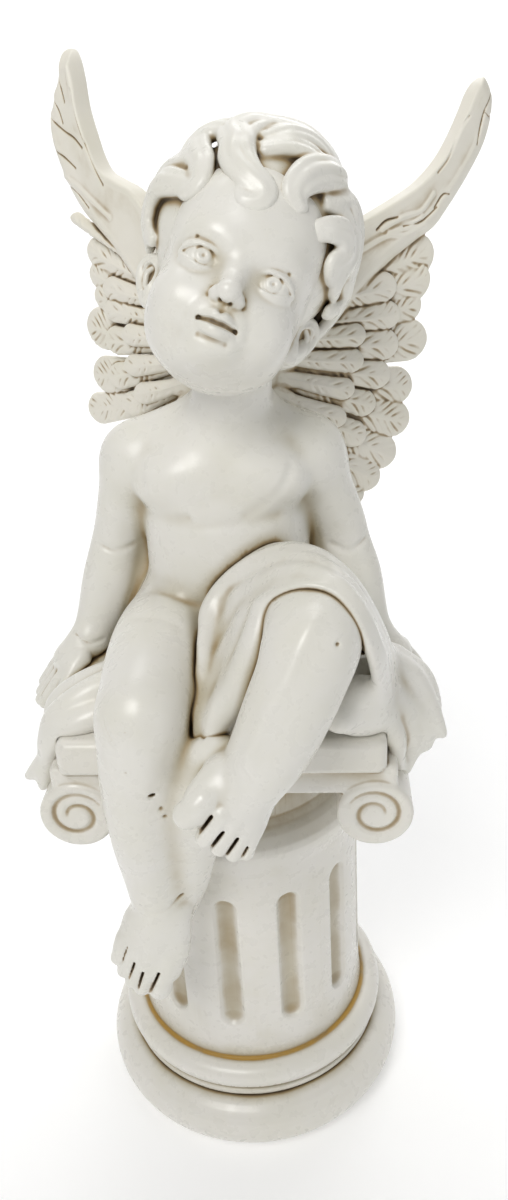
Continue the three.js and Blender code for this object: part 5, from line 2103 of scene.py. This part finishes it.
def add_backdrop() -> bpy.types.Object:
    """Lay the floor, which turns up behind the statue in one smooth sweep.

    Returns:
        The floor's object.
    """
    front, bend, radius, top = -4.0, 1.2, 1.5, 4.0
    profile = [(front, 0.0), (bend, 0.0)]
    for angle in np.linspace(0, math.pi / 2, 24)[1:]:
        profile.append((bend + radius * math.sin(angle), radius - radius * math.cos(angle)))
    profile.append((bend + radius, top))
    corners = [(x, y, z) for y, z in profile for x in (-5.0, 5.0)]
    faces = [(2 * i, 2 * i + 1, 2 * i + 3, 2 * i + 2) for i in range(len(profile) - 1)]
    mesh = bpy.data.meshes.new("floor")
    mesh.from_pydata(corners, [], faces)
    for face in mesh.polygons:
        face.use_smooth = True
    floor = bpy.data.objects.new("floor", mesh)
    bpy.context.scene.collection.objects.link(floor)
    return floor


def add_surroundings() -> None:
    """Wrap the studio in pale walls that are brightest at eye level and dimmer overhead."""
    world = bpy.data.worlds.new("studio")
    world.use_nodes = True
    tree = world.node_tree
    place = tree.nodes.new("ShaderNodeTexCoord")
    split = tree.nodes.new("ShaderNodeSeparateXYZ")
    ramp = tree.nodes.new("ShaderNodeMapRange")
    ramp.interpolation_type = "SMOOTHSTEP"
    tree.links.new(place.outputs["Generated"], split.inputs[0])
    tree.links.new(split.outputs["Z"], ramp.inputs["Value"])
    for name, value in (("From Min", 0.0), ("From Max", 0.6), ("To Min", 0.40), ("To Max", 0.24)):
        ramp.inputs[name].default_value = value
    tree.links.new(ramp.outputs["Result"], tree.nodes["Background"].inputs["Strength"])
    tree.nodes["Background"].inputs["Color"].default_value = (1.0, 1.0, 1.0, 1.0)
    bpy.context.scene.world = world


# ------------------------------------------------------------------ assembly

def finish_piece(piece: bpy.types.Object, part: Part, node: str) -> None:
    """Give a piece its paint and hand it to the frame.

    Args:
        piece: The finished object.
        part: Which finish it takes.
        node: The CAD node it stands for.
    """
    material = bpy.data.materials.get(part.value.name) or painted(part.value)
    piece.data.materials.append(material)
    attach(piece, "root")
    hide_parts(node)


def main() -> None:
    """Build the statue, the studio and the camera."""
    add_camera(View())
    add_studio()
    _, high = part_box("column_plinth")
    sizes = ColumnSizes(foot=round(high[0] / MM, 1), seat_top=round(high[2] / MM, 1), seat_half=86.0)
    column = cast(Column(sizes).sculpt(), Casting("column", triangles=125_000))
    finish_piece(column, Part.COLUMN, "column_plinth")

    skin, drape = Body().sculpt(), Cloth().sculpt(sizes.seat_top)
    # Shared occupancy, so that painted shade and wash darken where body and cloth meet.
    together = np.maximum(skin.occupancy(), drape.occupancy())
    body = cast(skin, Casting("body", triangles=185_000), None, together)
    finish_piece(body, Part.FIGURE, "cherub_figure")
    cloth = cast(drape, Casting("cloth", triangles=130_000), None, together)
    finish_piece(cloth, Part.CLOTH, "cherub_figure")

    head = cast(Head().sculpt(), Casting("head", triangles=165_000, fine=1.3, broad=4.5), HEAD_POSE.place)
    finish_piece(head, Part.FIGURE, "cherub_figure")
    hair = cast(Hair().sculpt(), Casting("hair", triangles=180_000, fine=1.8, broad=5.0), HEAD_POSE.place)
    finish_piece(hair, Part.HAIR, "cherub_figure")

    for plan in (LEFT_WING, RIGHT_WING):
        casting = Casting(f"{plan.name}_feathers", triangles=100_000, fine=1.4, broad=5.0)
        wing = cast(Wing(plan).sculpt(), casting, plan.place)
        finish_piece(wing, Part.WINGS, plan.name)


if __name__ == "__main__":
    main()
